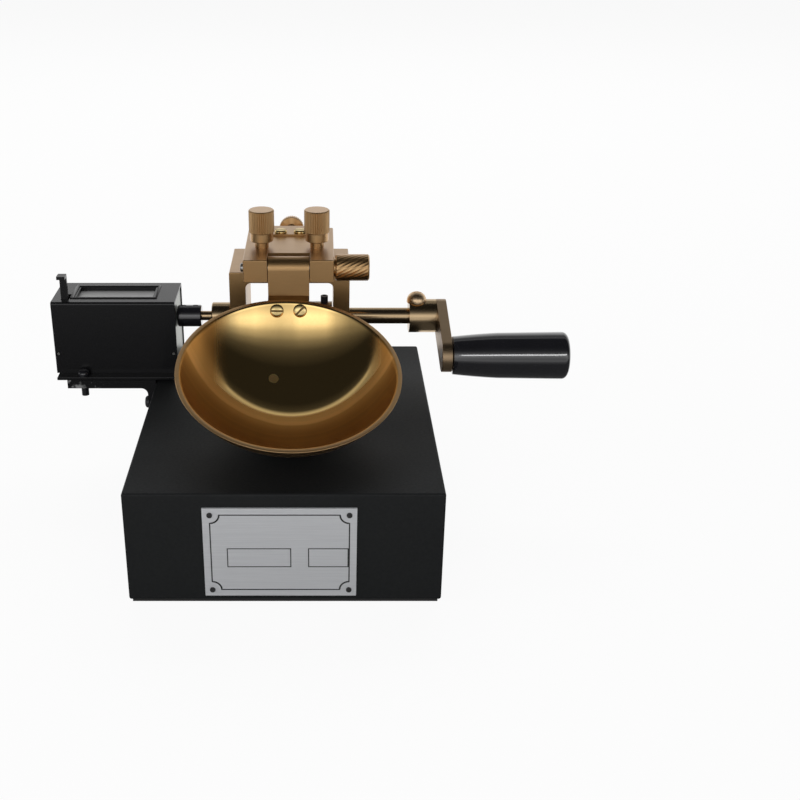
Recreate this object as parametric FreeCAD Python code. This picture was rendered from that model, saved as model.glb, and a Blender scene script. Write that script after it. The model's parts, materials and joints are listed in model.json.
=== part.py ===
import FreeCAD, Part
import math
import os

V = FreeCAD.Vector

# Liquid limit device: a cup on a hinge, lifted by a cam and dropped on a hard base.
# Millimetres. X runs along the crankshaft towards the handle, Y towards the back, Z up.
# The origin is the centre of the underside.

# Fits and clearances
running = 0.05          # radial clearance of a shaft or pin that turns
slack = 0.3             # gap between pieces that pass each other
bolt_play = 0.25        # radial play of a screw in its clearance hole

# Base
base_width = 125.0
base_depth = 150.0
base_height = 50.0
pad_thickness = 1.5
pad_inset = 1.3
base_round = 1.0

# Name plate, bare but for a border and two frames
plate_width = 60.0
plate_height = 40.0
plate_thickness = 0.8
plate_x = -1.65
plate_z = 24.1
plate_rivet_dx = 27.05
plate_rivet_dz = 17.1
rivet_head_r = 1.1
rivet_head_height = 0.5
rivet_shank_r = 0.7
rivet_length = 4.0

# Frame, an upside-down U that stands on the base
frame_half = 27.4
frame_leg = 7.4
frame_front = 37.5
frame_depth = 36.5
frame_height = 51.0
frame_top = 5.0
frame_inner_round = 2.5
frame_edge_round = 0.6
foot_screw_r = 2.5
foot_screw_dy = 10.0
foot_screw_grip = 12.0
foot_head_r = 4.25
foot_head_height = 5.0
foot_sink = 25.0

# Hinge of the cup
hinge_y = 30.0
hinge_above_base = 56.0
pin_r = 2.0
hinge_slack = 0.1
pin_end = 1.5
pin_knob_r = 5.9
pin_knob_length = 15.1
pin_shoulder_r = 4.0
pin_shoulder = 0.6

# Cup
cup_radius = 52.0        # inner
cup_wall = 2.0
cup_depth = 25.5        # inner
cup_tilt = 18.5         # of the rim, towards the front
cup_lean = 2.7          # of the rim, towards the right
cup_side = 2.3          # how far right of the hinge's middle the cup hangs
cup_reach = 62.0        # hinge to the point of contact, along Y
cup_gap = 0.3           # between the resting cup and the base
cup_swing = 8.68         # swing that lifts the cup by 10

# Hanger and follower of the cup
hanger_width = 18.3
hanger_thickness = 3.0
hanger_straight = 11.5   # how far the strap hangs down before it bends to the cup
hanger_bend_drop = 2.1   # how much lower the bend is at its back
knuckle_r = 5.0
tab_from = 12.0         # angles below the horizontal, round the cup's centre
tab_to = 38.0
cup_screw_dx = 5.1
cup_screw_angle = 16.0
cup_screw_r = 1.75
cup_screw_head_r = 2.95
cup_screw_head = 1.5
cup_screw_slot = 0.8
cup_nut_r = 3.2
cup_nut = 2.4
follower_width = 9.0
follower_height = 7.0
follower_tip_r = 2.0
follower_screw_r = 1.5
follower_screw_depth = 8.0

# Carriage that slides on the frame and carries the hinge
carriage_half = 20.1
carriage_front = 24.5
carriage_back = 75.0
carriage_thick = 10.0
ear_gap = 0.3
key_width = 8.0
key_depth = 1.5
carriage_travel = 2.8
edge_round = 0.5

# Adjusting screw and what holds it
adjust_z_above_frame = 6.0
adjust_r = 2.0
adjust_head_r = 6.0
adjust_head_length = 4.0
adjust_head_front = 85.0
adjust_neck_r = 2.9
adjust_collar_r = 4.0
adjust_collar = 2.0
adjust_tip = 58.0
post_y = 65.0
post_width = 6.0
post_depth = 5.0
post_foot_r = 2.5
pocket_play = 0.2
clip_r = 2.8
clip_thickness = 0.6
rear_wall = 3.5
keeper_front = 61.0
keeper_half = 14.0
keeper_thickness = 0.9
keeper_screw_dx = 4.5
keeper_screw_y = 64.0
keeper_screw_r = 1.0
keeper_head_r = 2.9
keeper_head = 1.5
keeper_slot = 0.6

# Lock screws of the carriage
lock_x = 12.5
lock_y = 45.0
lock_shank_r = 2.5
lock_neck_r = 3.12
lock_neck = 2.9
lock_collar_r = 5.3
lock_collar = 4.0
lock_knob_r = 5.75
lock_knob = 10.3
knob_edge = 0.4

# Crankshaft, cam and crank
shaft_y = 47.0
shaft_above_base = 26.7
shaft_r = 3.75
shaft_left = -36.5
stub_r = 2.2
stub_end = -47.0
bush_r = 5.5
collar_r = 6.3
cam_width = 12.0
cam_low_r = 12.5
cam_turn = 340.0        # turn of the crank that lifts the cup
cam_step = 345.0
cam_points = 24
cam_hub_r = 6.8
cam_end_play = 0.5
cam_screw_inset = 3.6
cam_screw_r = 1.7
cam_screw_top = 9.9
cam_socket = 2.0
hub_left = 55.4
hub_r = 7.8
arm_left = 68.1
arm_thickness = 4.6
arm_end_r = 7.4
arm_length = 32.0
arm_below = 13.0        # angle of the arm below the horizontal, towards the front
hub_screw_x = 58.9
hub_screw_r = 2.5
hub_screw_head_r = 4.55
hub_screw_head = 4.4
hub_screw_slot = 1.2

# Handle
spindle_r = 3.0
spindle_head_r = 4.6
spindle_head = 3.0
spindle_slot = 1.4
grip_length = 51.2
grip_left_r = 8.6
grip_waist = 20.0
grip_waist_r = 10.2
grip_right_r = 10.6
grip_edge = 2.5
grip_sink = 6.0
grip_sink_r = 5.2

# Counter on the left, driven by the crankshaft
counter_left = -109.2
counter_right = -52.5
counter_front = 35.0
counter_depth = 28.5
counter_height = 36.3
counter_above_base = 1.2
sheet = 1.2
floor_sheet = 1.4
lip = 5.5
floor_inset = 1.0
side_plate = 1.5
side_inset = 0.5
lever_space = 5.8        # between the two left plates, for the reset lever
window_left = -99.6
window_right = -62.5
window_front = 41.5
window_back = 57.0
window_sink = 1.8
window_thickness = 1.2
window_rim = 0.8
tube_gap = 0.4
tube_right = -41.5
tube_r = 5.1
tube_screw_r = 1.2
drive_r = 2.0
drive_end = -62.0
drive_gear_r = 5.0
drive_gear = 2.0
wheel_r = 7.2
wheel_width = 6.0
wheel_pitch = 6.5
wheel_first = -66.5
wheel_axle_r = 1.2
wheel_wall = 1.4
pinion_behind_shaft = 9.5
pinion_below_shaft = 7.7
pinion_r = 2.6
pinion_axle_r = 0.9
pinion_width = 2.2
lever_x = -103.3
lever_width = 3.2
lever_y = 39.0
lever_sheet = 1.5
lever_rise = 12.0
lever_flange = 4.5
lever_lap = 0.6
lever_pivot_height = 14.8
lever_pivot_r = 1.2
lever_travel = 6.0
counter_rivet_r = 0.6
counter_rivet_head = 0.3
counter_rivet_low = 9.8
counter_rivet_inset = 1.6

# Bracket of the counter
bracket_left = -103.6
bracket_front = 29.3
bracket_depth = 33.0
bracket_thickness = 4.0
bracket_drop = 26.0
bracket_round = 3.0
bracket_screw_down = 12.0
bracket_screw_y = 34.5
bracket_screw_dy = 20.0
bracket_screw_r = 2.0
bracket_screw_head_r = 2.9
bracket_screw_head = 2.2
bracket_screw_grip = 10.0
foot_bolt_r = 1.75
foot_bolt_head_r = 2.6
foot_bolt_head = 2.6
foot_bolt_tail = 4.4
foot_bolt_inset = 7.4
foot_bolt_from_bend = 5.7

# Places worked out from the sizes
hinge_z = base_height + hinge_above_base
cup_outer = cup_radius + cup_wall
cup_y = hinge_y - cup_reach
cup_z = base_height + cup_gap + cup_outer
frame_z = base_height + frame_height
frame_back = frame_front + frame_depth
frame_inner = frame_half - frame_leg
cam_hub_end = frame_inner - cam_end_play
cam_screw_x = cam_hub_end - cam_screw_inset
carriage_z = frame_z + carriage_thick
shaft_z = base_height + shaft_above_base
adjust_z = frame_z + adjust_z_above_frame
arm_right = arm_left + arm_thickness
grip_left = arm_right + slack
grip_right = grip_left + grip_length
handle_y = shaft_y - arm_length * math.cos(math.radians(arm_below))
handle_z = shaft_z - arm_length * math.sin(math.radians(arm_below))
tip_y = shaft_y - cam_low_r - slack - follower_tip_r
counter_back = counter_front + counter_depth
counter_floor = base_height + counter_above_base
counter_top = counter_floor + counter_height
case_bottom = counter_floor + floor_sheet
cover_left = counter_left + side_inset
tube_left = counter_right - side_inset + tube_gap
plate_left = cover_left + side_plate + lever_space + side_plate
plate_right = counter_right - side_inset - side_plate
pane_z = counter_top - window_sink - window_thickness
pinion_y = shaft_y + pinion_behind_shaft
pinion_z = shaft_z - pinion_below_shaft
lever_pivot_z = counter_floor + lever_pivot_height
bracket_screw_z = base_height - bracket_screw_down
foot_bolt_left = bracket_left + foot_bolt_inset
foot_bolt_right = -base_width / 2 - bracket_thickness - foot_bolt_from_bend


def box(x0, x1, y0, y1, z0, z1):
    return Part.makeBox(x1 - x0, y1 - y0, z1 - z0, V(x0, y0, z0))


def rod_x(r, x0, x1, y, z):
    return Part.makeCylinder(r, x1 - x0, V(x0, y, z), V(1, 0, 0))


def rod_y(r, y0, y1, x, z):
    return Part.makeCylinder(r, y1 - y0, V(x, y0, z), V(0, 1, 0))


def rod_z(r, z0, z1, x, y):
    return Part.makeCylinder(r, z1 - z0, V(x, y, z0), V(0, 0, 1))


def join(first, *others):
    return first.fuse(list(others)).removeSplitter()


def group(pieces):
    return Part.makeCompound(pieces)


def profile(points, shift):
    """A prism of a closed outline of corners."""
    return Part.Face(Part.makePolygon(points + points[:1])).extrude(shift)


def edges_at(shape, test):
    return [edge for edge in shape.Edges if test(edge)]


def along(edge, axis):
    """True for a straight edge that runs along the axis."""
    if edge.Curve.TypeId != "Part::GeomLine":
        return False
    return abs(edge.Curve.Direction.dot(axis)) > 0.999


def from_cup(radius, angle, x=0.0):
    """A point round the cup's centre, at an angle below the horizontal, behind it."""
    turn = math.radians(angle)
    return V(x, cup_y + radius * math.cos(turn), cup_z - radius * math.sin(turn))


def swing(point, angle):
    """A point of the cup once it has swung up by the angle."""
    turn = FreeCAD.Rotation(V(-1, 0, 0), angle)
    hinge = V(0, hinge_y, hinge_z)
    return hinge + turn.multVec(point - hinge)


def save(name, shape):
    shape.exportStep("parts/" + name + ".step")


# Base

def base_block():
    half_x = base_width / 2
    half_y = base_depth / 2
    block = box(-half_x, half_x, -half_y, half_y, pad_thickness, base_height)
    block = block.makeFillet(base_round, block.Edges)
    for x, y in foot_places():
        block = block.cut(rod_z(foot_screw_r + bolt_play, 0, base_height, x, y))
        block = block.cut(rod_z(foot_head_r + bolt_play, 0, pad_thickness + foot_sink, x, y))
    for x, z in rivet_places():
        block = block.cut(rod_y(rivet_shank_r, -half_y, -half_y + rivet_length, x, z))
    for y in bracket_screw_places():
        block = block.cut(rod_x(bracket_screw_r, -half_x, -half_x + bracket_screw_grip, y, bracket_screw_z))
    return block


def base_pad():
    half_x = base_width / 2 - pad_inset
    half_y = base_depth / 2 - pad_inset
    return box(-half_x, half_x, -half_y, half_y, 0, pad_thickness)


def rivet_places():
    return [(plate_x + i * plate_rivet_dx, plate_z + k * plate_rivet_dz) for i in (-1, 1) for k in (-1, 1)]


def name_plate():
    front = -base_depth / 2
    plate = box(plate_x - plate_width / 2, plate_x + plate_width / 2, front - plate_thickness, front,
                plate_z - plate_height / 2, plate_z + plate_height / 2)
    for x, z in rivet_places():
        plate = plate.cut(rod_y(rivet_shank_r, front - plate_thickness, front, x, z))
    return plate


def plate_rivets():
    front = -base_depth / 2
    rivets = []
    for x, z in rivet_places():
        face = front - plate_thickness
        shank = rod_y(rivet_shank_r, face, front + rivet_length, x, z)
        head = rod_y(rivet_head_r, face - rivet_head_height, face, x, z)
        rivets.append(join(shank, head))
    return group(rivets)


# Frame

def foot_places():
    x = frame_half - frame_leg / 2
    middle = frame_front + frame_depth / 2
    return [(i * x, middle + k * foot_screw_dy) for i in (-1, 1) for k in (-1, 1)]


def frame():
    solid = box(-frame_half, frame_half, frame_front, frame_back, base_height, frame_z)
    solid = solid.makeFillet(frame_edge_round, edges_at(solid, lambda e: e.BoundBox.ZMin > base_height + 1))
    gap = box(-frame_inner, frame_inner, frame_front - 1, frame_back + 1, base_height - 1, frame_z - frame_top)
    top = edges_at(gap, lambda e: along(e, V(0, 1, 0)) and e.BoundBox.ZMin > base_height)
    solid = solid.cut(gap.makeFillet(frame_inner_round, top))
    key_half = key_width / 2
    solid = solid.cut(box(-key_half, key_half, frame_front - 1, frame_back + 1, frame_z - key_depth, frame_z + 1))
    solid = solid.cut(rod_x(bush_r, -frame_half, frame_half, shaft_y, shaft_z))
    for x, y in foot_places():
        solid = solid.cut(rod_z(foot_screw_r, base_height, base_height + foot_screw_grip, x, y))
    for side in (-1, 1):
        solid = solid.cut(rod_z(lock_shank_r + running, base_height, frame_z, side * lock_x, lock_y))
    return solid.cut(rod_z(post_foot_r, frame_z - frame_top, frame_z, 0, post_y))


def frame_screws():
    screws = []
    head_top = pad_thickness + foot_sink
    for x, y in foot_places():
        shank = rod_z(foot_screw_r, head_top, base_height + foot_screw_grip, x, y)
        head = rod_z(foot_head_r, head_top - foot_head_height, head_top, x, y)
        socket = rod_z(foot_screw_r, head_top - foot_head_height, head_top - foot_head_height / 2, x, y)
        screws.append(join(shank, head).cut(socket))
    return group(screws)


def shaft_bushes():
    bushes = []
    for x0 in (-frame_half, frame_inner):
        bush = rod_x(bush_r, x0, x0 + frame_leg, shaft_y, shaft_z)
        bushes.append(bush.cut(rod_x(shaft_r + running, x0, x0 + frame_leg, shaft_y, shaft_z)))
    return group(bushes)


def adjusting_post():
    half = post_width / 2
    top = carriage_z - slack
    post = box(-half, half, post_y - post_depth / 2, post_y + post_depth / 2, frame_z - key_depth, top)
    foot = rod_z(post_foot_r, frame_z - frame_top, frame_z - key_depth, 0, post_y)
    thread = rod_y(adjust_r + running, post_y - post_depth, post_y + post_depth, 0, adjust_z)
    return join(post, foot).cut(thread)


# Carriage

def carriage():
    solid = box(-carriage_half, carriage_half, carriage_front, carriage_back, frame_z, carriage_z)
    slot_half = hanger_width / 2 + ear_gap
    slot_back = hinge_y + knuckle_r + slack
    solid = solid.cut(box(-slot_half, slot_half, carriage_front - 1, slot_back, frame_z - 1, carriage_z + 1))
    solid = solid.makeFillet(edge_round, edges_at(solid, outer_edge))
    key_half = key_width / 2 - running
    key = box(-key_half, key_half, frame_front, carriage_back, frame_z - key_depth + running, frame_z)
    solid = join(solid, key)
    solid = solid.cut(rod_x(pin_r + running, -carriage_half, carriage_half, hinge_y, hinge_z))
    for side in (-1, 1):
        solid = solid.cut(lock_slot(side * lock_x))
    inner = carriage_back - rear_wall
    pocket_half = post_width / 2 + pocket_play
    pocket_front = post_y - post_depth / 2 - pocket_play
    solid = solid.cut(box(-pocket_half, pocket_half, pocket_front, inner, frame_z - key_depth, carriage_z))
    solid = solid.cut(rod_y(adjust_r + slack, adjust_tip - slack, carriage_back, 0, adjust_z))
    for side in (-1, 1):
        hole = rod_z(keeper_screw_r, carriage_z - carriage_thick / 2, carriage_z, side * keeper_screw_dx,
                     keeper_screw_y)
        solid = solid.cut(hole)
    return solid


def outer_edge(edge):
    """Outer edges of the carriage above its sliding face."""
    box_of = edge.BoundBox
    return box_of.ZMax > frame_z + 1 and (box_of.XMax > carriage_half - 1 or box_of.XMin < 1 - carriage_half)


def lock_slot(x):
    r = lock_shank_r + bolt_play
    ahead = rod_z(r, frame_z, carriage_z, x, lock_y - slack)
    behind = rod_z(r, frame_z, carriage_z, x, lock_y + carriage_travel + slack)
    between = box(x - r, x + r, lock_y - slack, lock_y + carriage_travel + slack, frame_z, carriage_z)
    return join(ahead, behind, between)


def keeper_plate():
    plate = box(-keeper_half, keeper_half, keeper_front, carriage_back, carriage_z, carriage_z + keeper_thickness)
    for side in (-1, 1):
        hole = rod_z(keeper_screw_r, carriage_z, carriage_z + keeper_thickness, side * keeper_screw_dx,
                     keeper_screw_y)
        plate = plate.cut(hole)
    return plate


def keeper_screws():
    screws = []
    seat = carriage_z + keeper_thickness
    for side in (-1, 1):
        x = side * keeper_screw_dx
        shank = rod_z(keeper_screw_r, carriage_z - carriage_thick / 2, seat, x, keeper_screw_y)
        head = pan_head(keeper_head_r, keeper_head, V(x, keeper_screw_y, seat), V(0, 0, 1))
        slot = box(x - keeper_head_r, x + keeper_head_r, keeper_screw_y - keeper_slot / 2,
                   keeper_screw_y + keeper_slot / 2, seat + keeper_head / 2, seat + keeper_head)
        screws.append(join(shank, head).cut(slot))
    return group(screws)


def pan_head(r, height, seat, up):
    """A screw head with a round top edge."""
    head = Part.makeCylinder(r, height, seat, up)
    tip = seat + up * height
    rim = edges_at(head, lambda e: e.Length > r and (e.CenterOfMass - tip).Length < 0.01)
    return head.makeFillet(height * 0.6, rim)


# Screws that are turned by hand

def lock_screw(x):
    neck_top = carriage_z + lock_neck
    collar_top = neck_top + lock_collar
    shank = rod_z(lock_shank_r, frame_z - frame_top, carriage_z, x, lock_y)
    neck = rod_z(lock_neck_r, carriage_z, neck_top, x, lock_y)
    collar = rod_z(lock_collar_r, neck_top, collar_top, x, lock_y)
    knob = chamfered(rod_z(lock_knob_r, collar_top, collar_top + lock_knob, x, lock_y), knob_edge)
    return join(shank, neck, collar, knob)


def chamfered(solid, size):
    """A rod with both end edges broken."""
    return solid.makeChamfer(size, edges_at(solid, lambda e: e.Curve.TypeId == "Part::GeomCircle"))


def hinge_pin():
    left = -carriage_half - pin_end
    pin = rod_x(pin_r, left, knob_left() + pin_knob_length / 2, hinge_y, hinge_z)
    tip = edges_at(pin, lambda e: e.Curve.TypeId == "Part::GeomCircle" and e.CenterOfMass.x < left + 1)
    return pin.makeFillet(pin_end / 2, tip)


def knob_left():
    return carriage_half + pin_shoulder


def pin_knob():
    knob = chamfered(rod_x(pin_knob_r, knob_left(), knob_left() + pin_knob_length, hinge_y, hinge_z), knob_edge)
    shoulder = rod_x(pin_shoulder_r, carriage_half, knob_left(), hinge_y, hinge_z)
    bore = rod_x(pin_r, carriage_half, knob_left() + pin_knob_length / 2, hinge_y, hinge_z)
    return join(knob, shoulder).cut(bore)


def adjusting_screw():
    head_back = adjust_head_front + adjust_head_length
    thread = rod_y(adjust_r, adjust_tip, carriage_back, 0, adjust_z)
    collar = rod_y(adjust_collar_r, carriage_back, carriage_back + adjust_collar, 0, adjust_z)
    neck = rod_y(adjust_neck_r, carriage_back, adjust_head_front, 0, adjust_z)
    head = chamfered(rod_y(adjust_head_r, adjust_head_front, head_back, 0, adjust_z), knob_edge)
    return join(thread, collar, neck, head)


def adjusting_clip():
    back = carriage_back - rear_wall
    ring = rod_y(clip_r, back - clip_thickness, back, 0, adjust_z)
    return ring.cut(rod_y(adjust_r, back - clip_thickness, back, 0, adjust_z))


# Cup and what hangs it

def cup_hollow():
    """The half space above the cup's rim, as a large box."""
    span = 4 * cup_outer
    block = Part.makeBox(span, span, span, V(-span / 2, -span / 2, -cup_radius + cup_depth))
    block.rotate(V(0, 0, 0), V(1, 0, 0), cup_tilt)
    block.rotate(V(0, 0, 0), V(0, 1, 0), cup_lean)
    block.translate(cup_centre())
    return block


def cup_centre():
    return V(cup_side, cup_y, cup_z)


def cup():
    centre = cup_centre()
    shell = Part.makeSphere(cup_outer, centre).cut(Part.makeSphere(cup_radius, centre))
    shell = shell.cut(cup_hollow())
    for side in (-1, 1):
        shell = shell.cut(radial_rod(cup_screw_r, cup_radius - 1, cup_outer + 1, side * cup_screw_dx))
    return shell


def radial_rod(r, near, far, x):
    """A rod along the axis of a cup screw, between two distances from the cup's centre."""
    start = from_cup(near, cup_screw_angle, x)
    return Part.makeCylinder(r, far - near, start, from_cup(1, cup_screw_angle) - from_cup(0, 0))


def cup_hanger():
    half = hanger_width / 2
    back = cup_outer + hanger_thickness
    front_y = hinge_y - knuckle_r
    back_y = front_y + hanger_thickness
    bend_z = hinge_z - hanger_straight
    knuckle = rod_x(knuckle_r, -half, half, hinge_y, hinge_z)
    outline = [
        V(-half, front_y, hinge_z),
        V(-half, back_y, hinge_z),
        V(-half, back_y, bend_z - hanger_bend_drop),
        from_cup(back, tab_from, -half),
        from_cup(cup_outer, tab_from, -half),
        V(-half, front_y, bend_z),
    ]
    plate = profile(outline, V(2 * half, 0, 0))
    tab = rod_x(back, -half, half, cup_y, cup_z).common(tab_wedge(half, back))
    tab = tab.cut(rod_x(cup_outer - cup_wall, -half, half, cup_y, cup_z))
    solid = join(knuckle, plate, tab).cut(Part.makeSphere(cup_outer, cup_centre()))
    solid = solid.cut(rod_x(pin_r + hinge_slack, -half, half, hinge_y, hinge_z))
    for side in (-1, 1):
        solid = solid.cut(radial_rod(cup_screw_r, cup_outer - 1, back + 1, side * cup_screw_dx))
    return solid.cut(follower_screw_rod(follower_screw_r, cup_outer - 1, back + 1))


def tab_wedge(half, radius):
    """The slice of the cup's back that the tab covers."""
    far = 2 * radius
    corners = [from_cup(0, 0, -half), from_cup(far, tab_from, -half), from_cup(far, tab_to, -half)]
    return profile(corners, V(2 * half, 0, 0))


def follower_angle():
    return math.degrees(math.asin((cup_z - shaft_z) / (cup_outer + hanger_thickness)))


def follower_screw_rod(r, near, far):
    axis = from_cup(1, follower_angle()) - from_cup(0, 0)
    return Part.makeCylinder(r, far - near, from_cup(near, follower_angle()), axis)


def cam_follower():
    """A finger from the hanger's back to the cam, with a round tip."""
    half = follower_width / 2
    high = follower_height / 2
    neck_y = tip_y - follower_tip_r
    root_y = cup_y + cup_outer - follower_height
    outline = [
        V(-half, root_y, shaft_z - high),
        V(-half, neck_y, shaft_z - high),
        V(-half, tip_y, shaft_z - follower_tip_r),
        V(-half, tip_y, shaft_z + follower_tip_r),
        V(-half, neck_y, shaft_z + high),
        V(-half, root_y, shaft_z + high),
    ]
    finger = profile(outline, V(follower_width, 0, 0))
    finger = join(finger, rod_x(follower_tip_r, -half, half, tip_y, shaft_z))
    finger = finger.cut(rod_x(cup_outer + hanger_thickness, -half, half, cup_y, cup_z))
    return finger.cut(follower_screw_rod(follower_screw_r, cup_outer, follower_screw_end()))


def follower_screw_end():
    return cup_outer + hanger_thickness + follower_screw_depth


def follower_screw():
    """A screw through the tab into the follower, flush with the tab's inner face."""
    return follower_screw_rod(follower_screw_r, cup_outer + slack, follower_screw_end())


def cup_screws():
    screws = []
    span = cup_screw_head_r + 1
    sphere = Part.makeSphere(cup_radius, cup_centre())
    for side in (-1, 1):
        x = side * cup_screw_dx
        shank = radial_rod(cup_screw_r, cup_radius, cup_outer + hanger_thickness + cup_nut, x)
        head = radial_rod(cup_screw_head_r, cup_radius - cup_screw_head, cup_radius + 1, x).common(sphere)
        slot = Part.makeBox(2 * span, cup_screw_slot, 1, V(-span, -cup_screw_slot / 2, 0))
        slot.rotate(V(0, 0, 0), V(1, 0, 0), 90 + cup_screw_angle)
        slot.translate(from_cup(cup_radius - cup_screw_head + 0.7, cup_screw_angle, x))
        screws.append(join(shank, head).cut(slot))
    return group(screws)


def cup_nuts():
    nuts = []
    seat = cup_outer + hanger_thickness
    for side in (-1, 1):
        x = side * cup_screw_dx
        nut = radial_rod(cup_nut_r, seat - 1, seat + cup_nut, x)
        nut = nut.cut(rod_x(seat, x - cup_nut_r, x + cup_nut_r, cup_y, cup_z))
        nuts.append(nut.cut(radial_rod(cup_screw_r, seat - 1, seat + cup_nut, x)))
    return group(nuts)


# Crankshaft

def crankshaft():
    main = rod_x(shaft_r, shaft_left, arm_right, shaft_y, shaft_z)
    stub = rod_x(stub_r, stub_end, shaft_left, shaft_y, shaft_z)
    return join(main, stub)


def cam_curve():
    """Points of the cam's rising edge, from the follower's place at each turn of the crank."""
    tip = V(0, tip_y, shaft_z)
    centre = V(0, shaft_y, shaft_z)
    points = []
    for i in range(cam_points + 1):
        turn = cam_step * i / cam_points
        arm = swing(tip, cup_swing * turn / cam_turn) - centre
        arm = FreeCAD.Rotation(V(1, 0, 0), turn).multVec(arm)
        points.append(centre + arm * (1 - (follower_tip_r + slack) / arm.Length))
    return points


def cam():
    points = cam_curve()
    centre = V(0, shaft_y, shaft_z)
    rise = Part.BSplineCurve()
    rise.interpolate(points)
    low = FreeCAD.Rotation(V(1, 0, 0), cam_step).multVec(points[0] - centre) + centre
    middle = FreeCAD.Rotation(V(1, 0, 0), (cam_step - 360) / 2).multVec(points[0] - centre) + centre
    edges = [rise.toShape(), Part.LineSegment(points[-1], low).toShape(), Part.Arc(low, middle, points[0]).toShape()]
    disc = Part.Face(Part.Wire(edges)).extrude(V(cam_width, 0, 0))
    disc.translate(V(-cam_width / 2, 0, 0))
    hub = rod_x(cam_hub_r, cam_width / 2, cam_hub_end, shaft_y, shaft_z)
    bore = rod_x(shaft_r, -cam_width / 2, cam_hub_end, shaft_y, shaft_z)
    hole = rod_z(cam_screw_r, shaft_z, shaft_z + 2 * cam_hub_r, cam_screw_x, shaft_y)
    return join(disc, hub).cut(bore).cut(hole)


def cam_screw():
    screw = rod_z(cam_screw_r, shaft_z + shaft_r, shaft_z + cam_screw_top, cam_screw_x, shaft_y)
    socket = rod_z(cam_screw_r / 2, shaft_z + cam_screw_top - cam_socket, shaft_z + cam_screw_top, cam_screw_x,
                   shaft_y)
    seat = rod_x(shaft_r, cam_screw_x - 2 * cam_screw_r, cam_screw_x + 2 * cam_screw_r, shaft_y, shaft_z)
    return screw.cut(socket).cut(seat)


def shaft_collar():
    right = -frame_half - slack
    collar = chamfered(rod_x(collar_r, shaft_left, right, shaft_y, shaft_z), knob_edge)
    return collar.cut(rod_x(shaft_r, shaft_left, right, shaft_y, shaft_z))


def crank_hub():
    hub = rod_x(hub_r, hub_left, arm_left, shaft_y, shaft_z)
    hub = hub.cut(rod_x(shaft_r, hub_left, arm_left, shaft_y, shaft_z))
    return hub.cut(rod_z(hub_screw_r, shaft_z, shaft_z + 2 * hub_r, hub_screw_x, shaft_y))


def crank_screw():
    """The dome-headed screw that holds the crank's hub to the shaft."""
    seat = shaft_z + hub_r
    shank = rod_z(hub_screw_r, shaft_z + shaft_r, seat, hub_screw_x, shaft_y)
    head = pan_head(hub_screw_head_r, hub_screw_head, V(hub_screw_x, shaft_y, seat), V(0, 0, 1))
    slot = box(hub_screw_x - hub_screw_slot / 2, hub_screw_x + hub_screw_slot / 2, shaft_y - hub_screw_head_r,
               shaft_y + hub_screw_head_r, seat + hub_screw_head / 2, seat + hub_screw_head)
    shaft = rod_x(shaft_r, hub_left, arm_left, shaft_y, shaft_z)
    hub = rod_x(hub_r, hub_left - 1, arm_left, shaft_y, shaft_z)
    return join(shank, head.cut(hub)).cut(slot).cut(shaft)


def crank_arm():
    """A flat bar with round ends, one on the shaft and one under the handle."""
    back = rod_x(hub_r, arm_left, arm_right, shaft_y, shaft_z)
    front = rod_x(arm_end_r, arm_left, arm_right, handle_y, handle_z)
    tip = shaft_y - arm_length
    outline = [
        V(arm_left, shaft_y, shaft_z - hub_r),
        V(arm_left, tip, shaft_z - arm_end_r),
        V(arm_left, tip, shaft_z + arm_end_r),
        V(arm_left, shaft_y, shaft_z + hub_r),
    ]
    bar = profile(outline, V(arm_thickness, 0, 0))
    bar.rotate(V(0, shaft_y, shaft_z), V(1, 0, 0), arm_below)
    arm = join(back, front, bar)
    arm = arm.cut(rod_x(shaft_r, arm_left, arm_right, shaft_y, shaft_z))
    return arm.cut(rod_x(spindle_r, arm_left, arm_right, handle_y, handle_z))


def handle_spindle():
    head_left = grip_right - grip_sink + slack
    spindle = rod_x(spindle_r, arm_left, head_left, handle_y, handle_z)
    head = rod_x(spindle_head_r, head_left, head_left + spindle_head, handle_y, handle_z)
    slot = box(head_left + spindle_head / 2, head_left + spindle_head, handle_y - spindle_head_r,
               handle_y + spindle_head_r, handle_z - spindle_slot / 2, handle_z + spindle_slot / 2)
    return join(spindle, head).cut(slot)


def handle_grip():
    """Turned handle: narrow at the arm, nearly straight past the waist, with a round outer edge."""
    waist_x = grip_left + grip_waist
    edge_x = grip_right - grip_edge
    taper_mid = V(grip_left + grip_waist / 2, (grip_left_r + grip_waist_r) / 2 + 0.15, 0)
    corner = grip_edge * (1 - math.sqrt(0.5))
    edges = [
        Part.LineSegment(V(grip_left, 0, 0), V(grip_left, grip_left_r, 0)),
        Part.Arc(V(grip_left, grip_left_r, 0), taper_mid, V(waist_x, grip_waist_r, 0)),
        Part.LineSegment(V(waist_x, grip_waist_r, 0), V(edge_x, grip_right_r, 0)),
        Part.Arc(V(edge_x, grip_right_r, 0), V(grip_right - corner, grip_right_r - corner, 0),
                 V(grip_right, grip_right_r - grip_edge, 0)),
        Part.LineSegment(V(grip_right, grip_right_r - grip_edge, 0), V(grip_right, 0, 0)),
        Part.LineSegment(V(grip_right, 0, 0), V(grip_left, 0, 0)),
    ]
    wire = Part.Wire([edge.toShape() for edge in edges])
    grip = Part.Face(wire).revolve(V(0, 0, 0), V(1, 0, 0), 360)
    grip.translate(V(0, handle_y, handle_z))
    grip = grip.cut(rod_x(spindle_r + running, grip_left, grip_right, handle_y, handle_z))
    return grip.cut(rod_x(grip_sink_r, grip_right - grip_sink, grip_right, handle_y, handle_z))


# Counter

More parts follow.
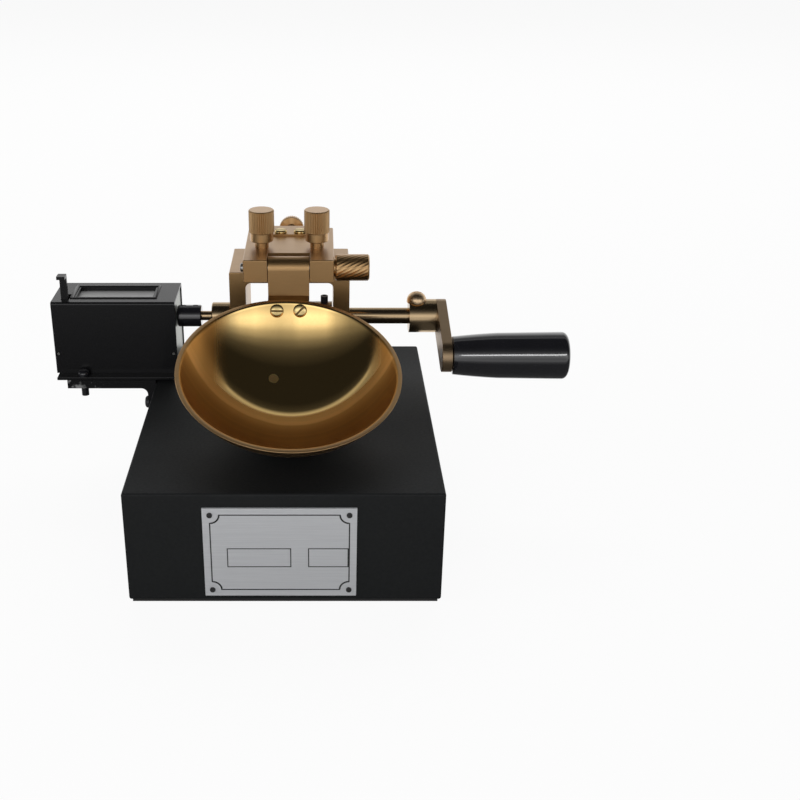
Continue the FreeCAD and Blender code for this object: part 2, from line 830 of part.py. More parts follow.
def coupling_tube():
    tube = chamfered(rod_x(tube_r, tube_left, tube_right, shaft_y, shaft_z), knob_edge)
    middle = (drive_right() + stub_end) / 2
    tube = tube.cut(rod_x(stub_r, middle, tube_right, shaft_y, shaft_z))
    tube = tube.cut(rod_x(drive_r, tube_left, middle, shaft_y, shaft_z))
    for x in tube_screw_places():
        tube = tube.cut(rod_z(tube_screw_r, shaft_z, shaft_z + tube_r, x, shaft_y))
    return tube


def drive_right():
    return stub_end - slack


def tube_screw_places():
    return [(tube_left + drive_right()) / 2, (tube_right + stub_end) / 2]


def coupling_screws():
    screws = []
    for x, r in zip(tube_screw_places(), (drive_r, stub_r)):
        screw = rod_z(tube_screw_r, shaft_z, shaft_z + tube_r - slack, x, shaft_y)
        screws.append(screw.cut(rod_x(r, x - 3, x + 3, shaft_y, shaft_z)))
    return group(screws)


def drive_shaft():
    shaft = rod_x(drive_r, drive_end, drive_right(), shaft_y, shaft_z)
    return join(shaft, rod_x(drive_gear_r, drive_end, drive_end + drive_gear, shaft_y, shaft_z))


def counter_case():
    """A folded sheet: front, top and back, with the window cut in the top."""
    outer = box(counter_left, counter_right, counter_front, counter_back, case_bottom, counter_top)
    folds = edges_at(outer, lambda e: along(e, V(1, 0, 0)) and e.BoundBox.ZMax > counter_top - 1)
    outer = outer.makeFillet(sheet, folds)
    inner = box(counter_left - 1, counter_right + 1, counter_front + sheet, counter_back - sheet,
                case_bottom - 1, counter_top - sheet)
    case = outer.cut(inner)
    case = case.cut(box(window_left, window_right, window_front, window_back, counter_top - 2 * sheet,
                        counter_top + 1))
    case = case.cut(lever_slot())
    for place in case_rivet_places():
        case = case.cut(case_rivet_rod(counter_rivet_r / 2, place, 0))
    return case


def lever_slot():
    half = lever_width / 2 + slack
    return box(lever_x - half, lever_x + half, lever_y - slack, lever_y + lever_sheet + lever_travel,
               counter_top - 2 * sheet, counter_top + 1)


def case_rivet_places():
    """A low rivet at each end of the front and of the back sheet, and the way that its head faces."""
    z = case_bottom + counter_rivet_low
    ends = (counter_left + counter_rivet_inset, counter_right - counter_rivet_inset)
    return [(x, y, z, out) for x in ends for y, out in ((counter_front, -1), (counter_back, 1))]


def case_rivet_rod(r, place, proud):
    """A rod through the sheet at a rivet's place, to this far out of it."""
    x, y, z, out = place
    ends = sorted((y - out * sheet, y + out * proud))
    return rod_y(r, ends[0], ends[1], x, z)


def case_rivets():
    rivets = []
    for place in case_rivet_places():
        head = case_rivet_rod(counter_rivet_r, place, counter_rivet_head)
        wide = case_rivet_rod(counter_rivet_r, place, 0)
        rivets.append(join(head.cut(wide), case_rivet_rod(counter_rivet_r / 2, place, counter_rivet_head)))
    return group(rivets)


def side_plates_box(x0, x1):
    return box(x0, x1, counter_front + sheet, counter_back - sheet, case_bottom, counter_top - sheet)


def counter_side_right():
    plate = side_plates_box(plate_right, plate_right + side_plate)
    plate = plate.cut(rod_x(drive_r + running, plate_right, plate_right + side_plate, shaft_y, shaft_z))
    return plate.cut(rod_x(pinion_axle_r, plate_right, plate_right + side_plate, pinion_y, pinion_z))


def counter_side_left():
    return side_plates_box(cover_left, cover_left + side_plate).cut(lever_pin())


def wheel_plate():
    """The plate inside the case that carries the left ends of the axles."""
    plate = side_plates_box(plate_left - side_plate, plate_left)
    plate = plate.cut(rod_x(wheel_axle_r, plate_left - side_plate, plate_left, shaft_y, shaft_z))
    plate = plate.cut(rod_x(pinion_axle_r, plate_left - side_plate, plate_left, pinion_y, pinion_z))
    return plate.cut(lever_pin())


def counter_base():
    """The floor sheet, with a lip in front and behind for the fixing screws."""
    floor = box(counter_left + floor_inset, counter_right - side_inset, counter_front - lip,
                counter_back + lip, counter_floor, case_bottom)
    for x, y in foot_bolt_places():
        floor = floor.cut(rod_z(foot_bolt_r, counter_floor, case_bottom, x, y))
    return floor


def counter_window():
    """A clear pane at the foot of the window's rim."""
    return box(window_left + window_rim, window_right - window_rim, window_front + window_rim,
               window_back - window_rim, pane_z, pane_z + window_thickness)


def window_frame():
    """A rim that lines the opening and holds the pane."""
    outer = box(window_left, window_right, window_front, window_back, pane_z, counter_top)
    inner = box(window_left + window_rim, window_right - window_rim, window_front + window_rim,
                window_back - window_rim, pane_z, counter_top)
    return outer.cut(inner)


def wheel(index):
    right = wheel_first - index * wheel_pitch
    body = rod_x(wheel_r, right - wheel_width, right, shaft_y, shaft_z)
    body = body.cut(rod_x(wheel_r - wheel_wall, right - wheel_width + wheel_wall, right, shaft_y, shaft_z))
    boss = rod_x(wheel_axle_r + wheel_wall, right - wheel_width, right, shaft_y, shaft_z)
    return join(body, boss).cut(rod_x(wheel_axle_r + running, right - wheel_width, right, shaft_y, shaft_z))


def wheel_axle():
    return rod_x(wheel_axle_r, plate_left - side_plate, drive_end - slack, shaft_y, shaft_z)


def pinion_axle():
    return rod_x(pinion_axle_r, plate_left - side_plate, plate_right + side_plate, pinion_y, pinion_z)


def transfer_pinions():
    pinions = []
    for index in range(4):
        middle = wheel_first - (index + 1) * wheel_pitch + (wheel_pitch - wheel_width) / 2
        ring = rod_x(pinion_r, middle - pinion_width / 2, middle + pinion_width / 2, pinion_y, pinion_z)
        pinions.append(ring.cut(rod_x(pinion_axle_r, middle - pinion_width, middle + pinion_width, pinion_y,
                                      pinion_z)))
    return group(pinions)


def reset_lever():
    """A bent strip: an upright that turns on a pin low in the case, and a flange to press."""
    half = lever_width / 2
    top = counter_top + lever_rise
    upright = box(lever_x - half, lever_x + half, lever_y, lever_y + lever_sheet, lever_pivot_z, top)
    flange = box(lever_x - half - lever_lap, lever_x + half, lever_y - lever_flange + lever_sheet,
                 lever_y + lever_sheet, top - lever_sheet, top)
    eye = rod_x(2 * lever_pivot_r, lever_x - half, lever_x + half, lever_y + lever_sheet, lever_pivot_z)
    lever = join(upright, flange, eye)
    return lever.cut(rod_x(lever_pivot_r + running, lever_x - half, lever_x + half, lever_y + lever_sheet,
                           lever_pivot_z))


def lever_pin():
    return rod_x(lever_pivot_r, cover_left, plate_left, lever_y + lever_sheet, lever_pivot_z)


# Bracket

def bracket_screw_places():
    return [bracket_screw_y, bracket_screw_y + bracket_screw_dy]


def foot_bolt_places():
    ahead = counter_front - lip / 2
    behind = counter_back + lip / 2
    return [(foot_bolt_left, ahead), (foot_bolt_left, behind), (foot_bolt_right, behind)]


def counter_bracket():
    """An angle under the counter, screwed to the left side of the base."""
    side = -base_width / 2
    outer = side - bracket_thickness
    back = bracket_front + bracket_depth + lip
    low = counter_floor - bracket_thickness
    ledge = box(bracket_left, side, bracket_front, back, low, counter_floor)
    leg = box(outer, side, bracket_front, back, counter_floor - bracket_drop, counter_floor)
    bracket = join(ledge, leg)
    inner = edges_at(bracket, lambda e: along(e, V(0, 1, 0)) and abs(e.CenterOfMass.x - outer) < 0.1
                     and abs(e.CenterOfMass.z - low) < 0.1)
    bracket = bracket.makeFillet(bracket_round, inner)
    for y in bracket_screw_places():
        bracket = bracket.cut(rod_x(bracket_screw_r + bolt_play, outer, side, y, bracket_screw_z))
    for x, y in foot_bolt_places():
        bracket = bracket.cut(rod_z(foot_bolt_r, low, counter_floor, x, y))
    return bracket


def bracket_screws():
    screws = []
    face = -base_width / 2 - bracket_thickness
    for y in bracket_screw_places():
        shank = rod_x(bracket_screw_r, face, face + bracket_thickness + bracket_screw_grip, y, bracket_screw_z)
        head = pan_head(bracket_screw_head_r, bracket_screw_head, V(face, y, bracket_screw_z), V(-1, 0, 0))
        screws.append(join(shank, head))
    return group(screws)


def counter_bolts():
    bolts = []
    for x, y in foot_bolt_places():
        low = counter_floor - bracket_thickness - foot_bolt_tail
        shank = rod_z(foot_bolt_r, low, case_bottom, x, y)
        bolts.append(join(shank, pan_head(foot_bolt_head_r, foot_bolt_head, V(x, y, case_bottom), V(0, 0, 1))))
    return group(bolts)


def main():
    os.makedirs("parts", exist_ok=True)
    save("base_block", base_block())
    save("base_pad", base_pad())
    save("name_plate", name_plate())
    save("plate_rivets", plate_rivets())
    save("frame", frame())
    save("frame_screws", frame_screws())
    save("shaft_bushes", shaft_bushes())
    save("adjusting_post", adjusting_post())
    save("carriage", carriage())
    save("keeper_plate", keeper_plate())
    save("keeper_screws", keeper_screws())
    save("lock_screw_left", lock_screw(-lock_x))
    save("lock_screw_right", lock_screw(lock_x))
    save("hinge_pin", hinge_pin())
    save("pin_knob", pin_knob())
    save("adjusting_screw", adjusting_screw())
    save("adjusting_clip", adjusting_clip())
    save("cup", cup())
    save("cup_hanger", cup_hanger())
    save("cam_follower", cam_follower())
    save("follower_screw", follower_screw())
    save("cup_screws", cup_screws())
    save("cup_nuts", cup_nuts())
    save("crankshaft", crankshaft())
    save("cam", cam())
    save("cam_screw", cam_screw())
    save("shaft_collar", shaft_collar())
    save("crank_hub", crank_hub())
    save("crank_screw", crank_screw())
    save("crank_arm", crank_arm())
    save("handle_spindle", handle_spindle())
    save("handle_grip", handle_grip())
    save("coupling_tube", coupling_tube())
    save("coupling_screws", coupling_screws())
    save("drive_shaft", drive_shaft())
    save("counter_case", counter_case())
    save("case_rivets", case_rivets())
    save("counter_side_right", counter_side_right())
    save("counter_side_left", counter_side_left())
    save("wheel_plate", wheel_plate())
    save("counter_base", counter_base())
    save("counter_window", counter_window())
    save("window_frame", window_frame())
    save("units_wheel", wheel(0))
    save("upper_wheels", group([wheel(index) for index in range(1, 5)]))
    save("wheel_axle", wheel_axle())
    save("pinion_axle", pinion_axle())
    save("transfer_pinions", transfer_pinions())
    save("reset_lever", reset_lever())
    save("lever_pin", lever_pin())
    save("counter_bracket", counter_bracket())
    save("bracket_screws", bracket_screws())
    save("counter_bolts", counter_bolts())


main()
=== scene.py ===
import bpy
import json
import math
from mathutils import Matrix, Vector

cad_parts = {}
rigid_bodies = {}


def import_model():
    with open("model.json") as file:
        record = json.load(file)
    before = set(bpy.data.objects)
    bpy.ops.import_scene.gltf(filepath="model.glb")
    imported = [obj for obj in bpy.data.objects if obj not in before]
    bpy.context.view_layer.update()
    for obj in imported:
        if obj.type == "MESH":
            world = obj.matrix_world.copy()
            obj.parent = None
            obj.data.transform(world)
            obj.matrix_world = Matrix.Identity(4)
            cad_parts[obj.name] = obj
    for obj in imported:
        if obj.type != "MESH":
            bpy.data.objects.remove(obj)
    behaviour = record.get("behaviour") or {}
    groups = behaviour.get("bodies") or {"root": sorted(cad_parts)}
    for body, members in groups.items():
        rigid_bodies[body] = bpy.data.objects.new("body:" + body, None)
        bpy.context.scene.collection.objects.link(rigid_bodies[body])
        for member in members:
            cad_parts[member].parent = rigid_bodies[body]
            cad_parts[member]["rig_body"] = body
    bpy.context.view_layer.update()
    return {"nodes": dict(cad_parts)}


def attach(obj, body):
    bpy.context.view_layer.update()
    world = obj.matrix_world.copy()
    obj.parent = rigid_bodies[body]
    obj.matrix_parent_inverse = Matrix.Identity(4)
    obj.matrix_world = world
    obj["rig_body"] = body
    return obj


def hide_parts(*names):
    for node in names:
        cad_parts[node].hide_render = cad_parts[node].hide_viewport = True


for thing in list(bpy.data.objects):
    bpy.data.objects.remove(thing)

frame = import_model()
nodes = frame["nodes"]
mm = 0.001
weld = 0.002 * mm    # points closer than this are one
print("stage: frame loaded")


# tools that several pieces share, and the angles in degrees past which an edge stays sharp

sharp = {"bowl": 40, "screw": 35, "sheet": 35, "copy": 30, "grip": 30, "teeth": 25, "diagonals": 15}


def inMillimetres(pair):
    return [amount * mm for amount in pair]


def deselectAll():
    if bpy.context.object and bpy.context.object.mode != "OBJECT":
        bpy.ops.object.mode_set(mode="OBJECT")
    bpy.ops.object.select_all(action="DESELECT")


def pickOnly(piece):
    deselectAll()
    piece.select_set(True)
    bpy.context.view_layer.objects.active = piece


def applyPlace(piece, matrix):
    # moves the finished mesh to its place and leaves the object at the origin
    piece.matrix_world = matrix
    pickOnly(piece)
    bpy.ops.object.transform_apply(location=True, rotation=True, scale=True)


def facing(at, direction):
    # a place whose Z looks along the direction
    turn = Vector(direction).normalized().to_track_quat("Z", "Y").to_matrix().to_4x4()
    return Matrix.Translation(Vector(at)) @ turn


def turnedPiece(name, outline, steps):
    # spins an outline of (height, radius) points in millimetres round Z
    deselectAll()
    bpy.ops.mesh.primitive_plane_add(size=mm)
    piece = bpy.context.object
    piece.name = name
    bpy.ops.object.mode_set(mode="EDIT")
    bpy.ops.mesh.select_all(action="SELECT")
    bpy.ops.mesh.merge(type="CENTER")
    height, radius = outline[0]
    bpy.ops.transform.translate(value=(radius * mm, 0, height * mm))
    for nextHeight, nextRadius in outline[1:]:
        step = ((nextRadius - radius) * mm, 0, (nextHeight - height) * mm)
        bpy.ops.mesh.extrude_vertices_move(TRANSFORM_OT_translate={"value": step})
        height, radius = nextHeight, nextRadius
    bpy.ops.mesh.select_all(action="SELECT")
    bpy.ops.mesh.spin(steps=steps, angle=2 * math.pi, center=(0, 0, 0), axis=(0, 0, 1))
    bpy.ops.mesh.select_all(action="SELECT")
    bpy.ops.mesh.remove_doubles(threshold=weld)
    bpy.ops.mesh.normals_make_consistent(inside=False)
    bpy.ops.object.mode_set(mode="OBJECT")
    return piece


def bevelEdges(piece, width, segments=3, angle=35):
    pickOnly(piece)
    rounding = piece.modifiers.new("rounding", "BEVEL")
    rounding.width = width * mm
    rounding.segments = segments
    rounding.limit_method = "ANGLE"
    rounding.angle_limit = math.radians(angle)
    bpy.ops.object.modifier_apply(modifier=rounding.name)


def smoothTo(piece, angle):
    pickOnly(piece)
    bpy.ops.object.shade_smooth_by_angle(angle=math.radians(angle))


def cutWith(piece, cutter):
    pickOnly(piece)
    cut = piece.modifiers.new("cut", "BOOLEAN")
    cut.object = cutter
    cut.solver = "EXACT"
    bpy.ops.object.modifier_apply(modifier=cut.name)
    bpy.data.objects.remove(cutter)


def block(name, low, high):
    # a box between two corners in millimetres
    deselectAll()
    middle = [(a + b) / 2 * mm for a, b in zip(low, high)]
    bpy.ops.mesh.primitive_cube_add(size=1, location=middle)
    piece = bpy.context.object
    piece.name = name
    piece.scale = [(b - a) * mm for a, b in zip(low, high)]
    bpy.ops.object.transform_apply(location=True, rotation=True, scale=True)
    return piece


def joinPieces(name, pieces):
    pickOnly(pieces[0])
    for piece in pieces[1:]:
        piece.select_set(True)
    bpy.ops.object.join()
    pieces[0].name = name
    return pieces[0]


def dress(piece, body, finish, slotName, *hidden):
    piece.data.materials.clear()
    piece.data.materials.append(finish)
    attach(piece, body)
    if hidden:
        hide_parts(*hidden)


def redress(finish, *names):
    for name in names:
        nodes[name].data.materials[0] = finish


# angles in degrees, and how much the large faces set the shading
rounded = {"flatAngle": 0.5, "edgeAngle": 50, "flatWeight": 100}


def roundedCopy(name, nodeName, width, finish, slotName, segments=2):
    # a copy of a CAD node with its triangles merged and its edges rounded
    node = nodes[nodeName]
    piece = bpy.data.objects.new(name, node.data.copy())
    bpy.context.scene.collection.objects.link(piece)
    pickOnly(piece)
    bpy.ops.object.mode_set(mode="EDIT")
    bpy.ops.mesh.select_all(action="SELECT")
    bpy.ops.mesh.remove_doubles(threshold=weld)
    bpy.ops.mesh.dissolve_limited(angle_limit=math.radians(rounded["flatAngle"]))
    bpy.ops.object.mode_set(mode="OBJECT")
    bevelEdges(piece, width, segments=segments, angle=rounded["edgeAngle"])
    smoothTo(piece, sharp["copy"])
    flatten = piece.modifiers.new("flatten", "WEIGHTED_NORMAL")
    flatten.keep_sharp = True
    flatten.weight = rounded["flatWeight"]
    bpy.ops.object.modifier_apply(modifier=flatten.name)
    dress(piece, node["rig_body"], finish, slotName, nodeName)


# finishes: small helpers for nodes, where an input is a socket or a plain value

def give(tree, given, socket):
    if isinstance(given, bpy.types.NodeSocket):
        tree.links.new(given, socket)
    else:
        socket.default_value = given


def mathNode(tree, operation, *inputs, clamp=False):
    node = tree.nodes.new("ShaderNodeMath")
    node.operation = operation
    node.use_clamp = clamp
    for socket, given in zip(node.inputs, inputs):
        give(tree, given, socket)
    return node.outputs[0]


def vectorNode(tree, operation, *inputs):
    node = tree.nodes.new("ShaderNodeVectorMath")
    node.operation = operation
    for socket, given in zip(node.inputs, inputs):
        give(tree, given, socket)
    return node.outputs["Value" if operation in ("LENGTH", "DISTANCE") else "Vector"]


def rangeNode(tree, value, fromLow, fromHigh, toLow=0, toHigh=1):
    node = tree.nodes.new("ShaderNodeMapRange")
    inputs = {"Value": value, "From Min": fromLow, "From Max": fromHigh, "To Min": toLow, "To Max": toHigh}
    for name, given in inputs.items():
        give(tree, given, node.inputs[name])
    return node.outputs["Result"]


def mixNode(tree, kind, share, first, second):
    node = tree.nodes.new("ShaderNodeMix")
    node.data_type = kind
    for name, given in (("Factor", share), ("A", first), ("B", second)):
        give(tree, given, node.inputs[name])
    return node.outputs["Result"]


def noiseNode(tree, coords, scale, detail=2):
    node = tree.nodes.new("ShaderNodeTexNoise")
    for name, given in (("Vector", coords), ("Scale", scale), ("Detail", detail)):
        give(tree, given, node.inputs[name])
    return node.outputs["Fac"]


def levelRamp(tree, source, points):
    node = tree.nodes.new("ShaderNodeValToRGB")
    ramp = node.color_ramp
    for element, (place, level) in zip((ramp.elements[0], ramp.elements[1]), (points[0], points[-1])):
        element.position = place
        element.color = (level, level, level, 1)
    for place, level in points[1:-1]:
        ramp.elements.new(place).color = (level, level, level, 1)
    give(tree, source, node.inputs["Fac"])
    return node.outputs["Color"]


def placeOn(tree, kind="Object"):
    return tree.nodes.new("ShaderNodeTexCoord").outputs[kind]


def split(tree, coords):
    node = tree.nodes.new("ShaderNodeSeparateXYZ")
    give(tree, coords, node.inputs[0])
    return node.outputs


# detail of the two noises, and the share of the deep colour where both are middling
grainSettings = {"fine": 4, "broad": 3, "deepShare": 0.3}


def grainGroup():
    # two colours mixed by a stretched grain and by broad patches
    group = bpy.data.node_groups.new("handledGrain", "ShaderNodeTree")
    sockets = (
        ("INPUT", "NodeSocketColor", ("Colour", "Deep Colour")),
        ("INPUT", "NodeSocketVector", ("Stretch",)),
        ("INPUT", "NodeSocketFloat", ("Grain", "Patches", "Patch Size", "Roughness", "Spread")),
        ("OUTPUT", "NodeSocketColor", ("Colour",)),
        ("OUTPUT", "NodeSocketFloat", ("Roughness", "Height")),
    )
    for side, kind, names in sockets:
        for name in names:
            group.interface.new_socket(name=name, in_out=side, socket_type=kind)
    given = group.nodes.new("NodeGroupInput").outputs
    result = group.nodes.new("NodeGroupOutput").inputs
    place = placeOn(group)
    stretched = vectorNode(group, "MULTIPLY", place, given["Stretch"])
    fine = noiseNode(group, stretched, 1, grainSettings["fine"])
    broad = noiseNode(group, place, given["Patch Size"], grainSettings["broad"])
    amounts = []
    for noise, strength in ((fine, "Grain"), (broad, "Patches")):
        centred = mathNode(group, "SUBTRACT", noise, 0.5)
        amounts.append(mathNode(group, "MULTIPLY", centred, given[strength]))
    total = mathNode(group, "ADD", *amounts)
    share = mathNode(group, "ADD", total, grainSettings["deepShare"], clamp=True)
    give(group, mixNode(group, "RGBA", share, given["Colour"], given["Deep Colour"]), result["Colour"])
    give(group, mathNode(group, "MULTIPLY_ADD", total, given["Spread"], given["Roughness"]), result["Roughness"])
    give(group, fine, result["Height"])
    return group


handledGrain = grainGroup()

# what a look has where it says nothing
plainLook = {"stretch": (900, 900, 900), "grain": 0.6, "patches": 0.5, "patchSize": 45, "spread": 0.15, "metal": 0,
             "specular": 0.5, "coat": 0, "coatRough": 0.05, "bump": 0.1, "bumpDepth": 0.05}


def finishFrom(name, ownLook):
    # a material on the grain group; the look gives its values
    look = {**plainLook, **ownLook}
    finish = bpy.data.materials.new(name)
    finish.use_nodes = True
    tree = finish.node_tree
    skin = tree.nodes["Principled BSDF"].inputs
    grain = tree.nodes.new("ShaderNodeGroup")
    grain.node_tree = handledGrain
    values = {"Colour": (*look["colour"], 1), "Deep Colour": (*look["deep"], 1), "Stretch": look["stretch"],
              "Grain": look["grain"], "Patches": look["patches"], "Patch Size": look["patchSize"],
              "Roughness": look["rough"], "Spread": look["spread"]}
    for socket, value in values.items():
        grain.inputs[socket].default_value = value
    give(tree, grain.outputs["Colour"], skin["Base Color"])
    give(tree, grain.outputs["Roughness"], skin["Roughness"])
    skin["Metallic"].default_value = look["metal"]
    skin["Specular IOR Level"].default_value = look["specular"]
    skin["Coat Weight"].default_value = look["coat"]
    skin["Coat Roughness"].default_value = look["coatRough"]
    bump = tree.nodes.new("ShaderNodeBump")
    bump.inputs["Strength"].default_value = look["bump"]
    bump.inputs["Distance"].default_value = look["bumpDepth"] * mm
    give(tree, grain.outputs["Height"], bump.inputs["Height"])
    give(tree, bump.outputs["Normal"], skin["Normal"])
    return finish


looks = {
    "satinBronze": {"colour": (0.53, 0.32, 0.135), "deep": (0.42, 0.25, 0.10), "metal": 1, "rough": 0.40,
                    "spread": 0.10, "stretch": (300, 300, 1600), "grain": 0.5, "patches": 0.5, "bump": 0.05,
                    "coat": 0.6, "coatRough": 0.3},
    "turnedBronze": {"colour": (0.57, 0.42, 0.25), "deep": (0.45, 0.32, 0.18), "metal": 1, "rough": 0.20,
                     "stretch": (1500, 120, 120), "grain": 0.4, "patches": 0.3, "bump": 0.02},
    "armBronze": {"colour": (0.40, 0.29, 0.18), "deep": (0.32, 0.22, 0.13), "metal": 1, "rough": 0.38,
                  "stretch": (300, 300, 1600), "grain": 0.4, "patches": 0.5, "bump": 0.03},
    "knobBronze": {"colour": (0.60, 0.37, 0.165), "deep": (0.46, 0.27, 0.11), "metal": 1, "rough": 0.34,
                   "grain": 0.5, "patches": 0.4, "bump": 0.04, "coat": 0.5, "coatRough": 0.25},
    "brightBrass": {"colour": (0.80, 0.62, 0.30), "deep": (0.64, 0.46, 0.18), "metal": 1, "rough": 0.15,
                    "patches": 0.6, "bump": 0.03},
    "cupOutside": {"colour": (0.50, 0.33, 0.18), "deep": (0.38, 0.24, 0.12), "metal": 1, "rough": 0.40,
                   "grain": 0.6, "bump": 0.06},
    "cupEdge": {"colour": (0.78, 0.50, 0.25), "deep": (0.60, 0.37, 0.17), "metal": 1, "rough": 0.36,
                "grain": 0.6, "bump": 0.05},
    # a dark brass, painted shade for the screw slots and the sides of the screw heads
    "paintedShadeBrass": {"colour": (0.24, 0.15, 0.06), "deep": (0.16, 0.10, 0.04), "metal": 1, "rough": 0.5},
    "domeBrass": {"colour": (0.82, 0.60, 0.38), "deep": (0.68, 0.47, 0.27), "metal": 1, "rough": 0.34,
                  "bump": 0.03},
    "rubberBlack": {"colour": (0.0085, 0.0092, 0.0095), "deep": (0.0055, 0.006, 0.0065), "rough": 0.6,
                    "spread": 0.2, "grain": 0.9, "patches": 0.9, "patchSize": 18, "bump": 0.2, "specular": 0.30},
    "padBlack": {"colour": (0.010, 0.010, 0.010), "deep": (0.005, 0.005, 0.005), "rough": 0.8, "bump": 0.4},
    "casePaint": {"colour": (0.0045, 0.0045, 0.005), "deep": (0.003, 0.003, 0.0035), "rough": 0.24,
                  "stretch": (1500, 1500, 1500), "grain": 0.8, "bump": 0.05, "spread": 0.10, "specular": 0.42},
    "sidePaint": {"colour": (0.46, 0.48, 0.45), "deep": (0.34, 0.36, 0.33), "metal": 1, "rough": 0.36, "bump": 0.05},
    "gripGloss": {"colour": (0.008, 0.008, 0.010), "deep": (0.005, 0.005, 0.006), "rough": 0.14,
                  "spread": 0.05, "coat": 1.0, "coatRough": 0.03, "bump": 0.02, "patches": 0.8},
    "plateSilver": {"colour": (0.70, 0.71, 0.73), "deep": (0.56, 0.57, 0.59), "metal": 0.55, "rough": 0.42,
                    "stretch": (60, 3000, 3000), "grain": 1.0, "patches": 0.2, "bump": 0.1},
    "printBlack": {"colour": (0.02, 0.02, 0.02), "deep": (0.012, 0.012, 0.012), "rough": 0.5},
    "plainSteel": {"colour": (0.50, 0.49, 0.47), "deep": (0.36, 0.35, 0.33), "metal": 1, "rough": 0.3},
    "darkSteel": {"colour": (0.045, 0.045, 0.05), "deep": (0.02, 0.02, 0.022), "metal": 0.6, "rough": 0.35},
    "figureWhite": {"colour": (0.72, 0.72, 0.70), "deep": (0.62, 0.62, 0.60), "rough": 0.5},
}
finishes = {name: finishFrom(name, look) for name, look in looks.items()}
print("stage: finishes made")


# the hand-polished bowl of the cup, its satin lip, and the dull spot in the middle

bowl = {
    "centre": (2.3, -32.0, 104.3), "outer": 54.0, "inner": 52.0, "rimBelow": 26.5, "tilt": 18.5, "lean": 2.7,
    "steps": 180, "rings": 44, "lip": 0.45, "lipAngle": 50, "lipShine": 0.75, "skin": 0.02,
    "spot": (-6.35, 0.76, 64.85), "spotFade": (2.484, 2.116), "spotRoughness": 0.42,
    # the rubbed part, rougher satin whose darker orange colour is a painted reflection, starts in front of the line
    # y = from + bend * x * x, and to both sides of its middle
    "rubbedFrom": -16.2, "rubbedBend": 0.0045, "rubbedFade": (0.4, -0.7), "rubbedMiddle": 4.5,
    "rubbedSides": (29.5, 36.5), "rubbedPaintedReflection": (0.74, 0.37, 0.10), "rubbedRoughness": 0.25,
    # painted reflection bands, as levels from the line (0) to the reach (1)
    "paintedBandColour": (1.0, 0.54, 0.17), "paintedBandNoise": 55, "paintedBandWander": 2.4, "paintedBandReach": 24.0,
    "paintedBands": ((0, 0.1), (0.07, 0.45), (0.12, 0.5), (0.17, 1.0), (0.225, 1.0), (0.265, 0.1), (0.40, 0),
                (0.54, 0.05), (0.60, 0.3), (0.66, 0.02), (0.82, 0.2), (0.88, 0.02), (1, 0.05)),
    "turningMarks": 700, "turningDetail": 3,
    "look": {"colour": (0.88, 0.62, 0.26), "deep": (0.76, 0.50, 0.18), "metal": 1, "rough": 0.075, "spread": 0.05,
             "grain": 0.5, "patches": 0.8, "patchSize": 30, "bump": 0.02},
}


def bowlMatrix():
    turn = Matrix.Rotation(math.radians(bowl["lean"]), 4, "Y") @ Matrix.Rotation(math.radians(bowl["tilt"]), 4, "X")
    return Matrix.Translation(Vector(bowl["centre"]) * mm) @ turn


def arcPoints(radius, start, end, count):
    # angles are measured from straight down
    turns = [start + (end - start) * i / count for i in range(count + 1)]
    return [(-radius * math.cos(turn), radius * math.sin(turn)) for turn in turns]


